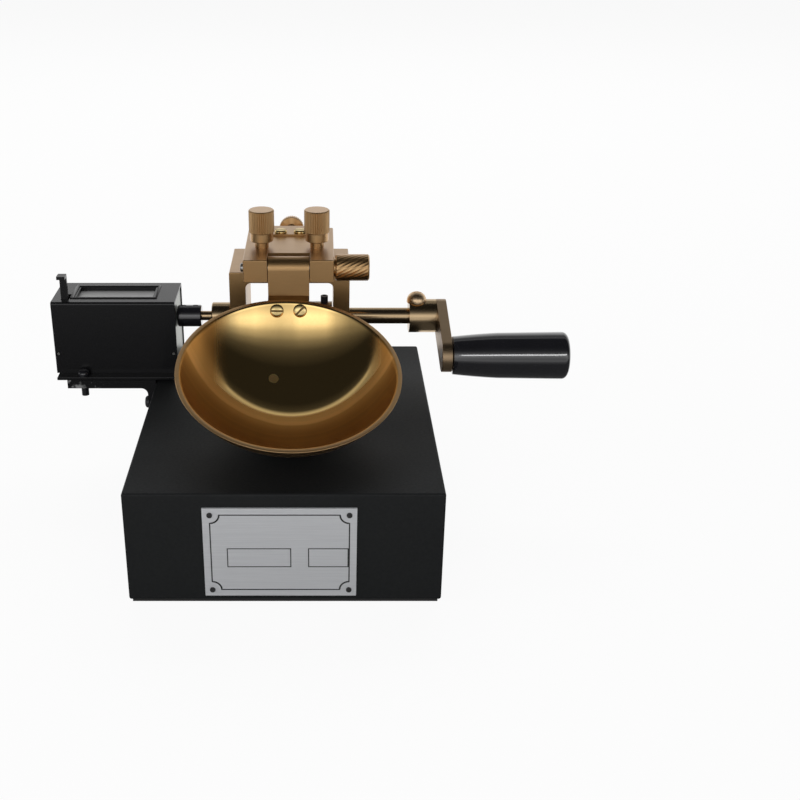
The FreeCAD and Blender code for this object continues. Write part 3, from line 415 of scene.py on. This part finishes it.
def cupFinish():
    # polished at the back and the bottom, hand-rubbed satin in front and at the sides, with a dull spot; the satin
    # part has a darker orange colour with paler bands, which are painted reflections
    s = bowl
    finish = finishFrom("polishedCup", s["look"])
    tree = finish.node_tree
    skin = tree.nodes["Principled BSDF"].inputs
    grain = next(node for node in tree.nodes if node.type == "GROUP").outputs
    bump = next(node for node in tree.nodes if node.type == "BUMP").inputs
    place = placeOn(tree)
    parts = split(tree, place)
    square = mathNode(tree, "MULTIPLY", parts["X"], parts["X"])
    line = mathNode(tree, "MULTIPLY_ADD", square, s["rubbedBend"] / mm, s["rubbedFrom"] * mm)
    past = mathNode(tree, "SUBTRACT", parts["Y"], line)
    front = rangeNode(tree, past, *inMillimetres(s["rubbedFade"]))
    aside = mathNode(tree, "ABSOLUTE", mathNode(tree, "SUBTRACT", parts["X"], s["rubbedMiddle"] * mm))
    sides = rangeNode(tree, aside, *inMillimetres(s["rubbedSides"]))
    satinAndReflection = mathNode(tree, "MAXIMUM", front, sides)
    # paler painted reflection bands follow the line, and wander a little
    uneven = noiseNode(tree, place, s["paintedBandNoise"])
    wander = mathNode(tree, "MULTIPLY_ADD", uneven, s["paintedBandWander"] * mm, past)
    start = 0.5 * s["paintedBandWander"] * mm
    along = rangeNode(tree, wander, start, start - s["paintedBandReach"] * mm)
    paintedBands = levelRamp(tree, along, s["paintedBands"])
    paintedReflectionColour = mixNode(tree, "RGBA", paintedBands, (*s["rubbedPaintedReflection"], 1), (*s["paintedBandColour"], 1))
    # the rubbed part takes the darker orange and the bands as painted reflection; its added roughness is the real
    # satin
    give(tree, mixNode(tree, "RGBA", satinAndReflection, grain["Colour"], paintedReflectionColour), skin["Base Color"])
    worn = mathNode(tree, "MULTIPLY_ADD", satinAndReflection, s["rubbedRoughness"], grain["Roughness"])
    away = vectorNode(tree, "DISTANCE", place, Vector(s["spot"]) * mm)
    inside = rangeNode(tree, away, *inMillimetres(s["spotFade"]))
    give(tree, mixNode(tree, "FLOAT", inside, worn, s["spotRoughness"]), skin["Roughness"])
    # turning marks run round the axis of the cup
    axis = tree.nodes.new("ShaderNodeMapping")
    axis.vector_type = "TEXTURE"
    axis.inputs["Location"].default_value = Vector(s["centre"]) * mm
    axis.inputs["Rotation"].default_value = bowlMatrix().to_euler()
    give(tree, place, axis.inputs["Vector"])
    level = vectorNode(tree, "MULTIPLY", axis.outputs["Vector"], (1, 1, 0))
    marks = tree.nodes.new("ShaderNodeTexNoise")
    marks.noise_dimensions = "1D"
    marks.inputs["Scale"].default_value = s["turningMarks"]
    marks.inputs["Detail"].default_value = s["turningDetail"]
    give(tree, vectorNode(tree, "LENGTH", level), marks.inputs["W"])
    give(tree, marks.outputs["Fac"], bump["Height"])
    return finish


def makeBowl():
    s = bowl
    outerEdge = math.acos(s["rimBelow"] / s["outer"])
    innerEdge = math.acos(s["rimBelow"] / s["inner"])
    outline = arcPoints(s["outer"], 0, outerEdge, s["rings"]) + arcPoints(s["inner"], innerEdge, 0, s["rings"])
    piece = turnedPiece("cupBowl", outline, s["steps"])
    bevelEdges(piece, s["lip"], angle=s["lipAngle"])
    smoothTo(piece, sharp["bowl"])
    piece.data.materials.clear()
    for finish in (cupFinish(), finishes["cupOutside"], finishes["cupEdge"]):
        piece.data.materials.append(finish)
    polished, outside, edge = 0, 1, 2
    shineLimit = (s["inner"] + s["lipShine"]) * mm
    skinLimit = (s["outer"] - s["skin"]) * mm
    for face in piece.data.polygons:
        reach = [piece.data.vertices[i].co.length for i in face.vertices]
        face.material_index = polished if max(reach) < shineLimit else outside if min(reach) > skinLimit else edge
    applyPlace(piece, bowlMatrix())
    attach(piece, "cup")
    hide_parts("cup")


makeBowl()
redress(finishes["satinBronze"], "cup_hanger", "cam_follower")
redress(finishes["brightBrass"], "cup_nuts")
redress(finishes["darkSteel"], "follower_screw")
print("stage: cup made")


# round-headed screws with a slot

screwHead = {"bow": 8, "foot": 0.3, "above": 2.0, "rounding": 0.08, "segments": 2, "edgeAngle": 40, "steps": 48,
             "shankSteps": 32}


def makeScrew(name, radius, height, side, slotWidth, slotDepth, shank, length):
    # a low dome on z = 0 with a slot, and its shank below; side is how much of the height is upright
    s = screwHead
    outline = [(-s["foot"], 0), (-s["foot"], radius), (height * side, radius)]
    for i in range(1, s["bow"] + 1):
        turn = math.pi / 2 * i / s["bow"]
        outline.append((height * (side + (1 - side) * math.sin(turn)), radius * math.cos(turn)))
    head = turnedPiece(name, outline, s["steps"])
    cutWith(head, block("slot", (-2 * radius, -slotWidth / 2, height - slotDepth),
                        (2 * radius, slotWidth / 2, height + s["above"])))
    bevelEdges(head, s["rounding"], segments=s["segments"], angle=s["edgeAngle"])
    smoothTo(head, sharp["screw"])
    stem = turnedPiece(name + "Shank", [(-length, 0), (-length, shank), (0, shank), (0, 0)], s["shankSteps"])
    smoothTo(stem, sharp["screw"])
    return joinPieces(name, [head, stem])


cupScrew = {
    "across": 5.1, "below": 16.0, "leftTurn": -4, "rightTurn": 48,
    "shape": {"radius": 2.95, "height": 1.5, "side": 0.45, "slotWidth": 0.85, "slotDepth": 0.9, "shank": 1.75,
              "length": 9.0},
    # faces this near the slot's floor, or leaning less than this towards the middle of the cup, get a dark brass as
    # painted shade
    "floorMargin": 0.15, "upright": 0.5,
}


def makeCupScrews():
    s = cupScrew
    shape = s["shape"]
    screws = []
    below = math.radians(s["below"])
    centre = Vector(bowl["centre"])
    for side, turn in ((-1, s["leftTurn"]), (1, s["rightTurn"])):
        aside = side * s["across"] - centre.x
        reach = math.sqrt(bowl["inner"] ** 2 - aside ** 2)
        seat = Vector((centre.x + aside, centre.y + reach * math.cos(below), centre.z - reach * math.sin(below)))
        screw = makeScrew("cupScrew", **shape)
        spin = Matrix.Rotation(math.radians(turn), 4, "Z")
        applyPlace(screw, facing(seat * mm, centre - seat) @ spin)
        screws.append(screw)
    pair = joinPieces("cupScrews", screws)
    dress(pair, "cup", finishes["brightBrass"], "bright_brass", "cup_screws")
    # slot floors and upright sides of the heads get the dark brass: painted shade
    pair.data.materials.append(finishes["paintedShadeBrass"])
    slotFloor = bowl["inner"] - shape["height"] + shape["slotDepth"] - s["floorMargin"]
    for face in pair.data.polygons:
        inward = centre * mm - face.center
        upright = abs(face.normal.dot(inward.normalized())) < s["upright"]
        if upright or inward.length > slotFloor * mm:
            face.material_index = 1


makeCupScrews()


# knurled parts: the two lock screws, the knob of the hinge pin, the adjusting screw

# vertices to a tooth when the teeth are straight or run diagonally; no vertex inside the core is moved
knurl = {"straight": 3, "diagonal": 2, "margin": 0.01, "core": 2.0}


def pressKnurl(piece, low, high, depth, teeth, rows=0):
    # straight teeth when rows is 0, else a grid of sunk points whose faces are split along one diagonal
    steps = knurl["diagonal"] if rows else knurl["straight"]
    for vertex in piece.data.vertices:
        height = vertex.co.z / mm
        radius = math.hypot(vertex.co.x, vertex.co.y)
        outside = height < low - knurl["margin"] or height > high + knurl["margin"]
        if outside or radius < knurl["core"] * mm:
            continue
        place = round(math.atan2(vertex.co.y, vertex.co.x) / (2 * math.pi) * teeth * steps)
        row = round((height - low) / (high - low) * rows)
        if (place + row) % steps == 0:
            scale = (radius - depth * mm) / radius
            vertex.co.x *= scale
            vertex.co.y *= scale


lockScrew = {
    "across": 12.5, "back": 45.0, "foot": 96.0, "seat": 111.0, "neckTop": 113.9, "collarTop": 117.9, "top": 128.2,
    "shank": 2.5, "neck": 3.12, "collar": 5.3, "knob": 5.75, "teeth": 38, "depth": 0.28, "chamfer": 0.4, "edge": 0.3,
}


def makeLockScrew(side, where):
    s = lockScrew
    knurlLow = s["collarTop"] + s["edge"]
    knurlHigh = s["top"] - s["chamfer"]
    outline = [
        (s["foot"], 0), (s["foot"], s["shank"]), (s["seat"], s["shank"]), (s["seat"], s["neck"]),
        (s["neckTop"], s["neck"]), (s["neckTop"], s["collar"] - s["edge"]), (s["neckTop"] + s["edge"], s["collar"]),
        (s["collarTop"], s["collar"]), (s["collarTop"], s["knob"] - s["edge"]), (knurlLow, s["knob"]),
        (knurlHigh, s["knob"]), (s["top"], s["knob"] - s["chamfer"]), (s["top"], 0),
    ]
    piece = turnedPiece("lockScrew" + where.title(), outline, s["teeth"] * knurl["straight"])
    pressKnurl(piece, knurlLow, knurlHigh, s["depth"], s["teeth"])
    smoothTo(piece, sharp["teeth"])
    applyPlace(piece, Matrix.Translation((side * s["across"] * mm, s["back"] * mm, 0)))
    dress(piece, "lock_" + where, finishes["knobBronze"], "bronze", "lock_screw_" + where)


makeLockScrew(-1, "left")
makeLockScrew(1, "right")

pinKnob = {
    "left": 20.1, "shoulder": 0.6, "shoulderRadius": 4.0, "length": 15.1, "radius": 5.9, "teeth": 24, "rows": 9,
    "depth": 0.10, "chamfer": 0.6, "back": 30.0, "height": 106.0,
}


def makePinKnob():
    s = pinKnob
    start = s["shoulder"]
    end = s["shoulder"] + s["length"]
    low, high = start + s["chamfer"], end - s["chamfer"]
    outline = [(0, 0), (0, s["shoulderRadius"]), (start, s["shoulderRadius"]), (start, s["radius"] - s["chamfer"])]
    outline += [(low + (high - low) * i / s["rows"], s["radius"]) for i in range(s["rows"] + 1)]
    outline += [(end, s["radius"] - s["chamfer"]), (end, 0)]
    piece = turnedPiece("pinKnob", outline, s["teeth"] * knurl["diagonal"])
    pressKnurl(piece, low, high, s["depth"], s["teeth"], s["rows"])
    pickOnly(piece)
    bpy.ops.object.mode_set(mode="EDIT")
    bpy.ops.mesh.select_all(action="SELECT")
    bpy.ops.mesh.quads_convert_to_tris(quad_method="FIXED", ngon_method="BEAUTY")
    bpy.ops.object.mode_set(mode="OBJECT")
    smoothTo(piece, sharp["diagonals"])
    applyPlace(piece, facing((s["left"] * mm, s["back"] * mm, s["height"] * mm), (1, 0, 0)))
    dress(piece, "pin", finishes["knobBronze"], "bronze", "pin_knob")


makePinKnob()
redress(finishes["plainSteel"], "hinge_pin", "adjusting_clip")

adjustScrew = {"tip": 58.0, "wall": 75.0, "collar": 2.0, "headFront": 85.0, "headBack": 89.0, "height": 107.0,
               "thread": 2.0, "collarRadius": 4.0, "neckRadius": 2.9, "headRadius": 6.0, "cone": 0.9, "teeth": 36,
               "depth": 0.2, "frontEdge": 0.3, "backEdge": 0.4}


def makeAdjustingScrew():
    s = adjustScrew
    collarBack = s["wall"] + s["collar"]
    cone = s["headFront"] + s["cone"]
    knurlLow = cone + s["frontEdge"]
    knurlHigh = s["headBack"] - s["backEdge"]
    outline = [
        (s["tip"], 0), (s["tip"], s["thread"]), (s["wall"], s["thread"]), (s["wall"], s["collarRadius"]),
        (collarBack, s["collarRadius"]), (collarBack, s["neckRadius"]), (s["headFront"], s["neckRadius"]),
        (cone, s["headRadius"] - s["frontEdge"]), (knurlLow, s["headRadius"]), (knurlHigh, s["headRadius"]),
        (s["headBack"], s["headRadius"] - s["backEdge"]), (s["headBack"], 0),
    ]
    piece = turnedPiece("adjustingScrew", outline, s["teeth"] * knurl["straight"])
    pressKnurl(piece, knurlLow, knurlHigh, s["depth"], s["teeth"])
    smoothTo(piece, sharp["teeth"])
    applyPlace(piece, facing((0, 0, s["height"] * mm), (0, 1, 0)))
    dress(piece, "adjuster", finishes["knobBronze"], "bronze", "adjusting_screw")


makeAdjustingScrew()
redress(finishes["satinBronze"], "adjusting_post")
roundedCopy("bearingFrame", "frame", 0.35, finishes["satinBronze"], "bronze")
roundedCopy("slidingCarriage", "carriage", 0.3, finishes["satinBronze"], "bronze")
roundedCopy("keeperPlate", "keeper_plate", 0.15, finishes["satinBronze"], "bronze")
redress(finishes["turnedBronze"], "shaft_bushes", "shaft_collar", "crankshaft", "crank_hub")
redress(finishes["brightBrass"], "keeper_screws")
redress(finishes["darkSteel"], "frame_screws", "cam_screw")
redress(finishes["plainSteel"], "cam", "handle_spindle")
print("stage: frame and knobs made")


# crank: the dome screw on the hub, the arm, and the turned grip

domeScrew = {"x": 58.9, "y": 47.0, "seat": 83.9, "turn": 4,
             "shape": {"radius": 4.55, "height": 4.6, "side": 0.12, "slotWidth": 0.7, "slotDepth": 0.6,
                       "shank": 2.5, "length": 4.0}}


def makeDomeScrew():
    s = domeScrew
    screw = makeScrew("hubScrew", **s["shape"])
    spin = Matrix.Rotation(math.radians(s["turn"]), 4, "Z")
    applyPlace(screw, Matrix.Translation((s["x"] * mm, s["y"] * mm, s["seat"] * mm)) @ spin)
    dress(screw, "crank", finishes["domeBrass"], "bright_brass", "crank_screw")


makeDomeScrew()
roundedCopy("crankArm", "crank_arm", 0.3, finishes["armBronze"], "bronze")

grip = {
    "left": 73.0, "length": 51.2, "leftRadius": 8.6, "waist": 20.0, "waistRadius": 10.2, "rightRadius": 10.6,
    "leftEdge": 0.35, "edgeMiddle": 0.1, "swell": 0.6, "edge": 2.5, "sink": 6.0, "sinkRadius": 5.2, "sinkEdge": 0.4,
    "bore": 3.05, "back": 15.820, "height": 69.502, "steps": 96,
    # how many points the swelling, the straight and the rounded part have
    "swellPoints": 12, "straightPoints": 6, "edgePoints": 8,
}


def makeGrip():
    s = grip
    first, waist, straight = s["leftEdge"], s["waist"], s["length"] - s["edge"]
    outline = [(0, s["bore"]), (0, s["leftRadius"] - first), (s["edgeMiddle"], s["leftRadius"] - s["edgeMiddle"]),
               (first, s["leftRadius"])]
    for i in range(1, s["swellPoints"] + 1):
        share = i / s["swellPoints"]
        radius = s["leftRadius"] + (s["waistRadius"] - s["leftRadius"]) * share
        outline.append((first + (waist - first) * share, radius + s["swell"] * share * (1 - share)))
    for i in range(1, s["straightPoints"] + 1):
        share = i / s["straightPoints"]
        radius = s["waistRadius"] + (s["rightRadius"] - s["waistRadius"]) * share
        outline.append((waist + (straight - waist) * share, radius))
    for i in range(1, s["edgePoints"] + 1):
        turn = math.pi / 2 * i / s["edgePoints"]
        outline.append((straight + s["edge"] * math.sin(turn), s["rightRadius"] - s["edge"] * (1 - math.cos(turn))))
    floor = s["length"] - s["sink"]
    outline += [(s["length"], s["sinkRadius"] + s["sinkEdge"]), (s["length"] - s["sinkEdge"], s["sinkRadius"]),
                (floor, s["sinkRadius"]), (floor, s["bore"]), (0, s["bore"])]
    piece = turnedPiece("handleGrip", outline, s["steps"])
    smoothTo(piece, sharp["grip"])
    applyPlace(piece, facing((s["left"] * mm, s["back"] * mm, s["height"] * mm), (1, 0, 0)))
    dress(piece, "grip", finishes["gripGloss"], "grip_plastic", "handle_grip")


makeGrip()
print("stage: crank made")


# base and name plate: a printed border that curves in round the rivets, and two empty frames

plate = {
    "left": -31.65, "right": 28.35, "low": 4.1, "high": 44.1, "face": -75.8, "inset": 2.9, "corner": 3.7,
    "line": 0.68, "frameLine": 0.58, "fineness": 2, "proud": 0.06, "cornerPoints": 10,
    "boxes": [(-22.3, 17.7, 2.5, 26.0), (9.5, 17.7, 25.0, 26.0)],
}


def borderPath():
    # goes round the plate, with a quarter circle round each rivet
    s = plate
    left, right = s["left"] + s["inset"], s["right"] - s["inset"]
    low, high = s["low"] + s["inset"], s["high"] - s["inset"]
    corners = [(left, low, 90), (right, low, 180), (right, high, 270), (left, high, 0)]
    path = []
    for x, z, start in corners:
        for i in range(s["cornerPoints"] + 1):
            turn = math.radians(start - 90 * i / s["cornerPoints"])
            path.append((x + s["corner"] * math.cos(turn), z + s["corner"] * math.sin(turn)))
    return path


def flatLine(name, path, width):
    # a closed line on the plate's face, made as a round cord and pressed flat
    deselectAll()
    curve = bpy.data.curves.new(name, "CURVE")
    curve.dimensions = "3D"
    spline = curve.splines.new("POLY")
    spline.points.add(len(path) - 1)
    for point, (x, z) in zip(spline.points, path):
        point.co = (x * mm, plate["face"] * mm, z * mm, 1)
    spline.use_cyclic_u = True
    curve.bevel_depth = width / 2 * mm
    curve.bevel_resolution = plate["fineness"]
    line = bpy.data.objects.new(name, curve)
    bpy.context.scene.collection.objects.link(line)
    pickOnly(line)
    bpy.ops.object.convert(target="MESH")
    line = bpy.context.object
    for vertex in line.data.vertices:
        out = (vertex.co.y - plate["face"] * mm) / (width / 2 * mm)
        vertex.co.y = (plate["face"] + out * plate["proud"]) * mm
    return line


def makePlatePrint():
    lines = [flatLine("plateBorder", borderPath(), plate["line"])]
    for x0, z0, x1, z1 in plate["boxes"]:
        lines.append(flatLine("plateFrame", [(x0, z0), (x1, z0), (x1, z1), (x0, z1)], plate["frameLine"]))
    dress(joinPieces("platePrint", lines), "base", finishes["printBlack"], "plate_aluminium")


makePlatePrint()
redress(finishes["plateSilver"], "name_plate")
# the rivets get the black of the print: painted shade, so they show as dark holes
redress(finishes["printBlack"], "plate_rivets")
roundedCopy("baseBlock", "base_block", 0.6, finishes["rubberBlack"], "hard_rubber", segments=3)
redress(finishes["padBlack"], "base_pad")
print("stage: base made")


# counter: figures on its wheels, the hazy pane, and the painted case

wheels = {"first": -66.5, "pitch": 6.5, "width": 6.0, "radius": 7.2, "back": 47.0, "height": 76.7, "figure": 4.4,
          "proud": 0.03, "sunk": 0.01, "figures": 10, "fineness": 3}


def makeFigures(name, body, indices):
    s = wheels
    figures = []
    lift = Matrix.Translation((0, 0, (s["radius"] - s["sunk"]) * mm))
    for index in indices:
        middle = s["first"] - index * s["pitch"] - s["width"] / 2
        centre = Matrix.Translation((middle * mm, s["back"] * mm, s["height"] * mm))
        for number in range(s["figures"]):
            deselectAll()
            bpy.ops.object.text_add()
            figure = bpy.context.object
            figure.data.body = str(number)
            figure.data.size = s["figure"] * mm
            figure.data.align_x = "CENTER"
            figure.data.align_y = "CENTER"
            figure.data.extrude = s["proud"] * mm
            figure.data.resolution_u = s["fineness"]
            bpy.ops.object.convert(target="MESH")
            figure = bpy.context.object
            turn = Matrix.Rotation(2 * math.pi * number / s["figures"], 4, "X")
            applyPlace(figure, centre @ turn @ lift)
            figures.append(figure)
    dress(joinPieces(name, figures), body, finishes["printBlack"], "wheel_plastic")


makeFigures("unitsFigures", "units_wheel", [0])
makeFigures("upperFigures", "upper_wheels", [1, 2, 3, 4])


pane = {"alpha": 0.72,
        "look": {"colour": (0.34, 0.34, 0.34), "deep": (0.24, 0.24, 0.24), "stretch": (200, 200, 200),
                 "patches": 1.0, "patchSize": 60, "rough": 0.22, "spread": 0.1, "bump": 0}}


def paneFinish():
    finish = finishFrom("hazyPane", pane["look"])
    finish.node_tree.nodes["Principled BSDF"].inputs["Alpha"].default_value = pane["alpha"]
    return finish


redress(paneFinish(), "counter_window")

flange = {"left": -101.3, "right": -61.3, "front": 40.6, "back": 58.6, "low": 87.4, "top": 87.95,
          "holeLeft": -99.6, "holeRight": -62.5, "holeFront": 41.5, "holeBack": 57.0, "past": 1.0, "edge": 0.12,
          "segments": 2}


def makeFlange():
    s = flange
    piece = block("windowFlange", (s["left"], s["front"], s["low"]), (s["right"], s["back"], s["top"]))
    cutWith(piece, block("hole", (s["holeLeft"], s["holeFront"], s["low"] - s["past"]),
                         (s["holeRight"], s["holeBack"], s["top"] + s["past"])))
    bevelEdges(piece, s["edge"], segments=s["segments"])
    smoothTo(piece, sharp["sheet"])
    dress(piece, "base", finishes["casePaint"], "case_paint")


makeFlange()
redress(finishes["casePaint"], "reset_lever", "window_frame")
redress(finishes["gripGloss"], "coupling_tube", "counter_bolts")
roundedCopy("caseCover", "counter_case", 0.4, finishes["casePaint"], "case_paint")
roundedCopy("caseFloor", "counter_base", 0.45, finishes["casePaint"], "case_paint")
redress(finishes["sidePaint"], "counter_side_right", "counter_side_left", "wheel_plate")
redress(finishes["plainSteel"], "case_rivets", "drive_shaft", "wheel_axle", "pinion_axle", "lever_pin")
redress(finishes["darkSteel"], "bracket_screws", "coupling_screws")
redress(finishes["figureWhite"], "units_wheel", "upper_wheels", "transfer_pinions")

bracket = {"scuffs": (-84.0, -92.0), "scuffColour": (0.16, 0.16, 0.16), "scuffSize": 260, "scuffEdge": (0.54, 0.66),
           "rounding": 0.4}


def bracketFinish():
    # black paint, scuffed to grey towards the bracket's left end
    s = bracket
    finish = finishFrom("scuffedPaint", looks["casePaint"])
    tree = finish.node_tree
    grain = next(node for node in tree.nodes if node.type == "GROUP").outputs
    place = placeOn(tree)
    along = rangeNode(tree, split(tree, place)["X"], *inMillimetres(s["scuffs"]))
    spots = rangeNode(tree, noiseNode(tree, place, s["scuffSize"]), *s["scuffEdge"])
    scuffs = mathNode(tree, "MULTIPLY", along, spots)
    colour = mixNode(tree, "RGBA", scuffs, grain["Colour"], (*s["scuffColour"], 1))
    give(tree, colour, tree.nodes["Principled BSDF"].inputs["Base Color"])
    return finish


roundedCopy("caseBracket", "counter_bracket", bracket["rounding"], bracketFinish(), "case_paint")
print("stage: counter made")


# studio: floor, soft boxes, world and camera

studio = {
    "floorSize": 8.0, "floorColour": (0.62, 0.62, 0.62), "floorWhite": 0.93,
    "card": {"left": -1.2, "right": 1.2, "front": -2.2, "back": 0.060, "height": 0.0015,
             "near": -0.14, "nearLevel": 0.10, "far": -0.60, "farLevel": 0.85},
    "lamps": [
        # name, place, width, height, watts, what it looks at
        ("frontBox", (-0.25, -1.6, 0.72), 1.1, 0.5, 20, (0, 0, 0.07)),
        ("backBox", (0.1, 1.1, 1.15), 1.6, 0.9, 20, (0, 0, 0.07)),
        ("leftFill", (-1.4, -0.4, 0.8), 0.8, 0.8, 6, (0, 0, 0.07)),
    ],
    "strip": ("stripBox", (0.5, -1.5, 0.78), 1.2, 0.16, 5, (0.1, 0, 0.07)), "stripShown": "handleGrip",
    "softLevel": 0.26, "bandStrength": 1.5,
    # levels that shiny surfaces see, from the front horizon (0) over the top (0.5) to the back horizon (1)
    "room": ((0, 0.22), (0.2, 0.15), (0.25, 0.09), (0.31, 0.045), (0.36, 0.02), (0.58, 0.02), (0.63, 0.05),
             (0.65, 0.55), (0.675, 0.26), (0.76, 0.26), (0.80, 0.75), (0.86, 0.85), (1, 0.95)),
    "band": ((0, 0.45), (0.05, 0.65), (0.09, 1.0), (0.13, 0.85), (0.17, 0.35), (0.22, 0.08), (0.27, 0)),
    # how the front band changes from the left side (0) to the right side (1)
    "across": ((0, 0.04), (0.09, 0.14), (0.17, 0.45), (0.24, 1.0), (0.44, 1.0), (0.50, 0.72), (0.60, 0.60),
               (0.70, 0.75), (0.78, 0.95), (0.88, 0.80), (0.94, 0.30), (1, 0.05)),
    "camera": {"place": (0.014488, -0.459077, 0.268626), "down": 24.966, "sensor": 36, "lens": 51.769,
               "shift": 0.0984},
}


def bareMaterial(name):
    finish = bpy.data.materials.new(name)
    finish.use_nodes = True
    finish.node_tree.nodes.clear()
    return finish


def seenDirectly(tree):
    # 1 for the rays of the camera, of reflections and of clear things
    path = tree.nodes.new("ShaderNodeLightPath").outputs
    first = mathNode(tree, "ADD", path["Is Camera Ray"], path["Is Glossy Ray"])
    return mathNode(tree, "ADD", first, path["Is Transmission Ray"], clamp=True)


def shine(tree, kind, strength):
    # white light of this strength, from a surface or from the world
    node = tree.nodes.new(kind)
    node.inputs["Color"].default_value = (1, 1, 1, 1)
    give(tree, strength, node.inputs["Strength"])
    return node.outputs[0]


def finishTree(tree, kind, share, first, second):
    # mixes the two shaders by the share and sends them out
    blend = tree.nodes.new("ShaderNodeMixShader")
    for socket, given in zip(blend.inputs, (share, first, second)):
        give(tree, given, socket)
    give(tree, blend.outputs[0], tree.nodes.new(kind).inputs["Surface"])


def makeFloor():
    deselectAll()
    bpy.ops.mesh.primitive_plane_add(size=studio["floorSize"])
    floor = bpy.context.object
    floor.name = "studioFloor"
    finish = bareMaterial("paleFloor")
    tree = finish.node_tree
    matt = tree.nodes.new("ShaderNodeBsdfDiffuse")
    matt.inputs["Color"].default_value = (*studio["floorColour"], 1)
    share = mathNode(tree, "MULTIPLY", seenDirectly(tree), studio["floorWhite"])
    finishTree(tree, "ShaderNodeOutputMaterial", share, matt.outputs[0], shine(tree, "ShaderNodeEmission", 1))
    floor.data.materials.append(finish)


def makeCard():
    # a grey card in front of the object, paler further off, which only reflections show
    s = studio["card"]
    deselectAll()
    bpy.ops.mesh.primitive_plane_add(size=1)
    card = bpy.context.object
    card.name = "studioCard"
    card.scale = (s["right"] - s["left"], s["back"] - s["front"], 1)
    card.location = ((s["left"] + s["right"]) / 2, (s["front"] + s["back"]) / 2, s["height"])
    bpy.ops.object.transform_apply(location=True, rotation=True, scale=True)
    finish = bareMaterial("greyCard")
    tree = finish.node_tree
    away = split(tree, placeOn(tree))["Y"]
    level = rangeNode(tree, away, s["near"], s["far"], s["nearLevel"], s["farLevel"])
    result = tree.nodes.new("ShaderNodeOutputMaterial")
    give(tree, shine(tree, "ShaderNodeEmission", level), result.inputs["Surface"])
    card.data.materials.append(finish)
    card.visible_camera = False
    card.visible_diffuse = False
    card.visible_transmission = False
    card.visible_shadow = False


def makeLamp(name, place, sizeX, sizeY, watts, target):
    light = bpy.data.lights.new(name, "AREA")
    light.shape = "RECTANGLE"
    light.size = sizeX
    light.size_y = sizeY
    light.energy = watts
    lamp = bpy.data.objects.new(name, light)
    lamp.location = place
    lamp.rotation_euler = (Vector(place) - Vector(target)).to_track_quat("Z", "Y").to_euler()
    bpy.context.scene.collection.objects.link(lamp)
    return lamp


def makeLamps():
    for settings in studio["lamps"]:
        makeLamp(*settings).visible_glossy = False
    # a narrow strip that lights one glossy piece, and shows there as a streak
    strip = makeLamp(*studio["strip"])
    strip.visible_diffuse = False
    shown = bpy.data.collections.new("stripShown")
    shown.objects.link(bpy.data.objects[studio["stripShown"]])
    strip.light_linking.receiver_collection = shown


def makeWorld():
    # soft light for dull surfaces, ramps of levels for shiny ones, white behind the object
    world = bpy.data.worlds.new("paleRoom")
    bpy.context.scene.world = world
    world.use_nodes = True
    world.cycles.sampling_method = "NONE"
    tree = world.node_tree
    tree.nodes.clear()
    parts = split(tree, placeOn(tree, "Generated"))
    climb = mathNode(tree, "ARCTAN2", parts["Z"], mathNode(tree, "MULTIPLY", parts["Y"], -1))
    height = mathNode(tree, "DIVIDE", climb, math.pi)
    aside = mathNode(tree, "MULTIPLY_ADD", parts["X"], 0.5, 0.5)
    room = levelRamp(tree, height, studio["room"])
    band = mathNode(tree, "MULTIPLY", levelRamp(tree, height, studio["band"]),
                    levelRamp(tree, aside, studio["across"]))
    shown = mathNode(tree, "MULTIPLY_ADD", band, studio["bandStrength"], room)
    glossy = tree.nodes.new("ShaderNodeLightPath").outputs["Is Glossy Ray"]
    white = shine(tree, "ShaderNodeBackground", mixNode(tree, "FLOAT", glossy, 1, shown))
    soft = shine(tree, "ShaderNodeBackground", studio["softLevel"])
    finishTree(tree, "ShaderNodeOutputWorld", seenDirectly(tree), soft, white)


def makeCamera():
    s = studio["camera"]
    lens = bpy.data.cameras.new("photoCamera")
    lens.sensor_width = s["sensor"]
    lens.lens = s["lens"]
    lens.shift_x = s["shift"]
    camera = bpy.data.objects.new("photoCamera", lens)
    camera.location = s["place"]
    camera.rotation_euler = (math.radians(90 - s["down"]), 0, 0)
    bpy.context.scene.collection.objects.link(camera)
    bpy.context.scene.camera = camera


makeFloor()
makeCard()
makeLamps()
makeWorld()
makeCamera()
bpy.context.scene.view_settings.view_transform = "Standard"
print("stage: studio made")
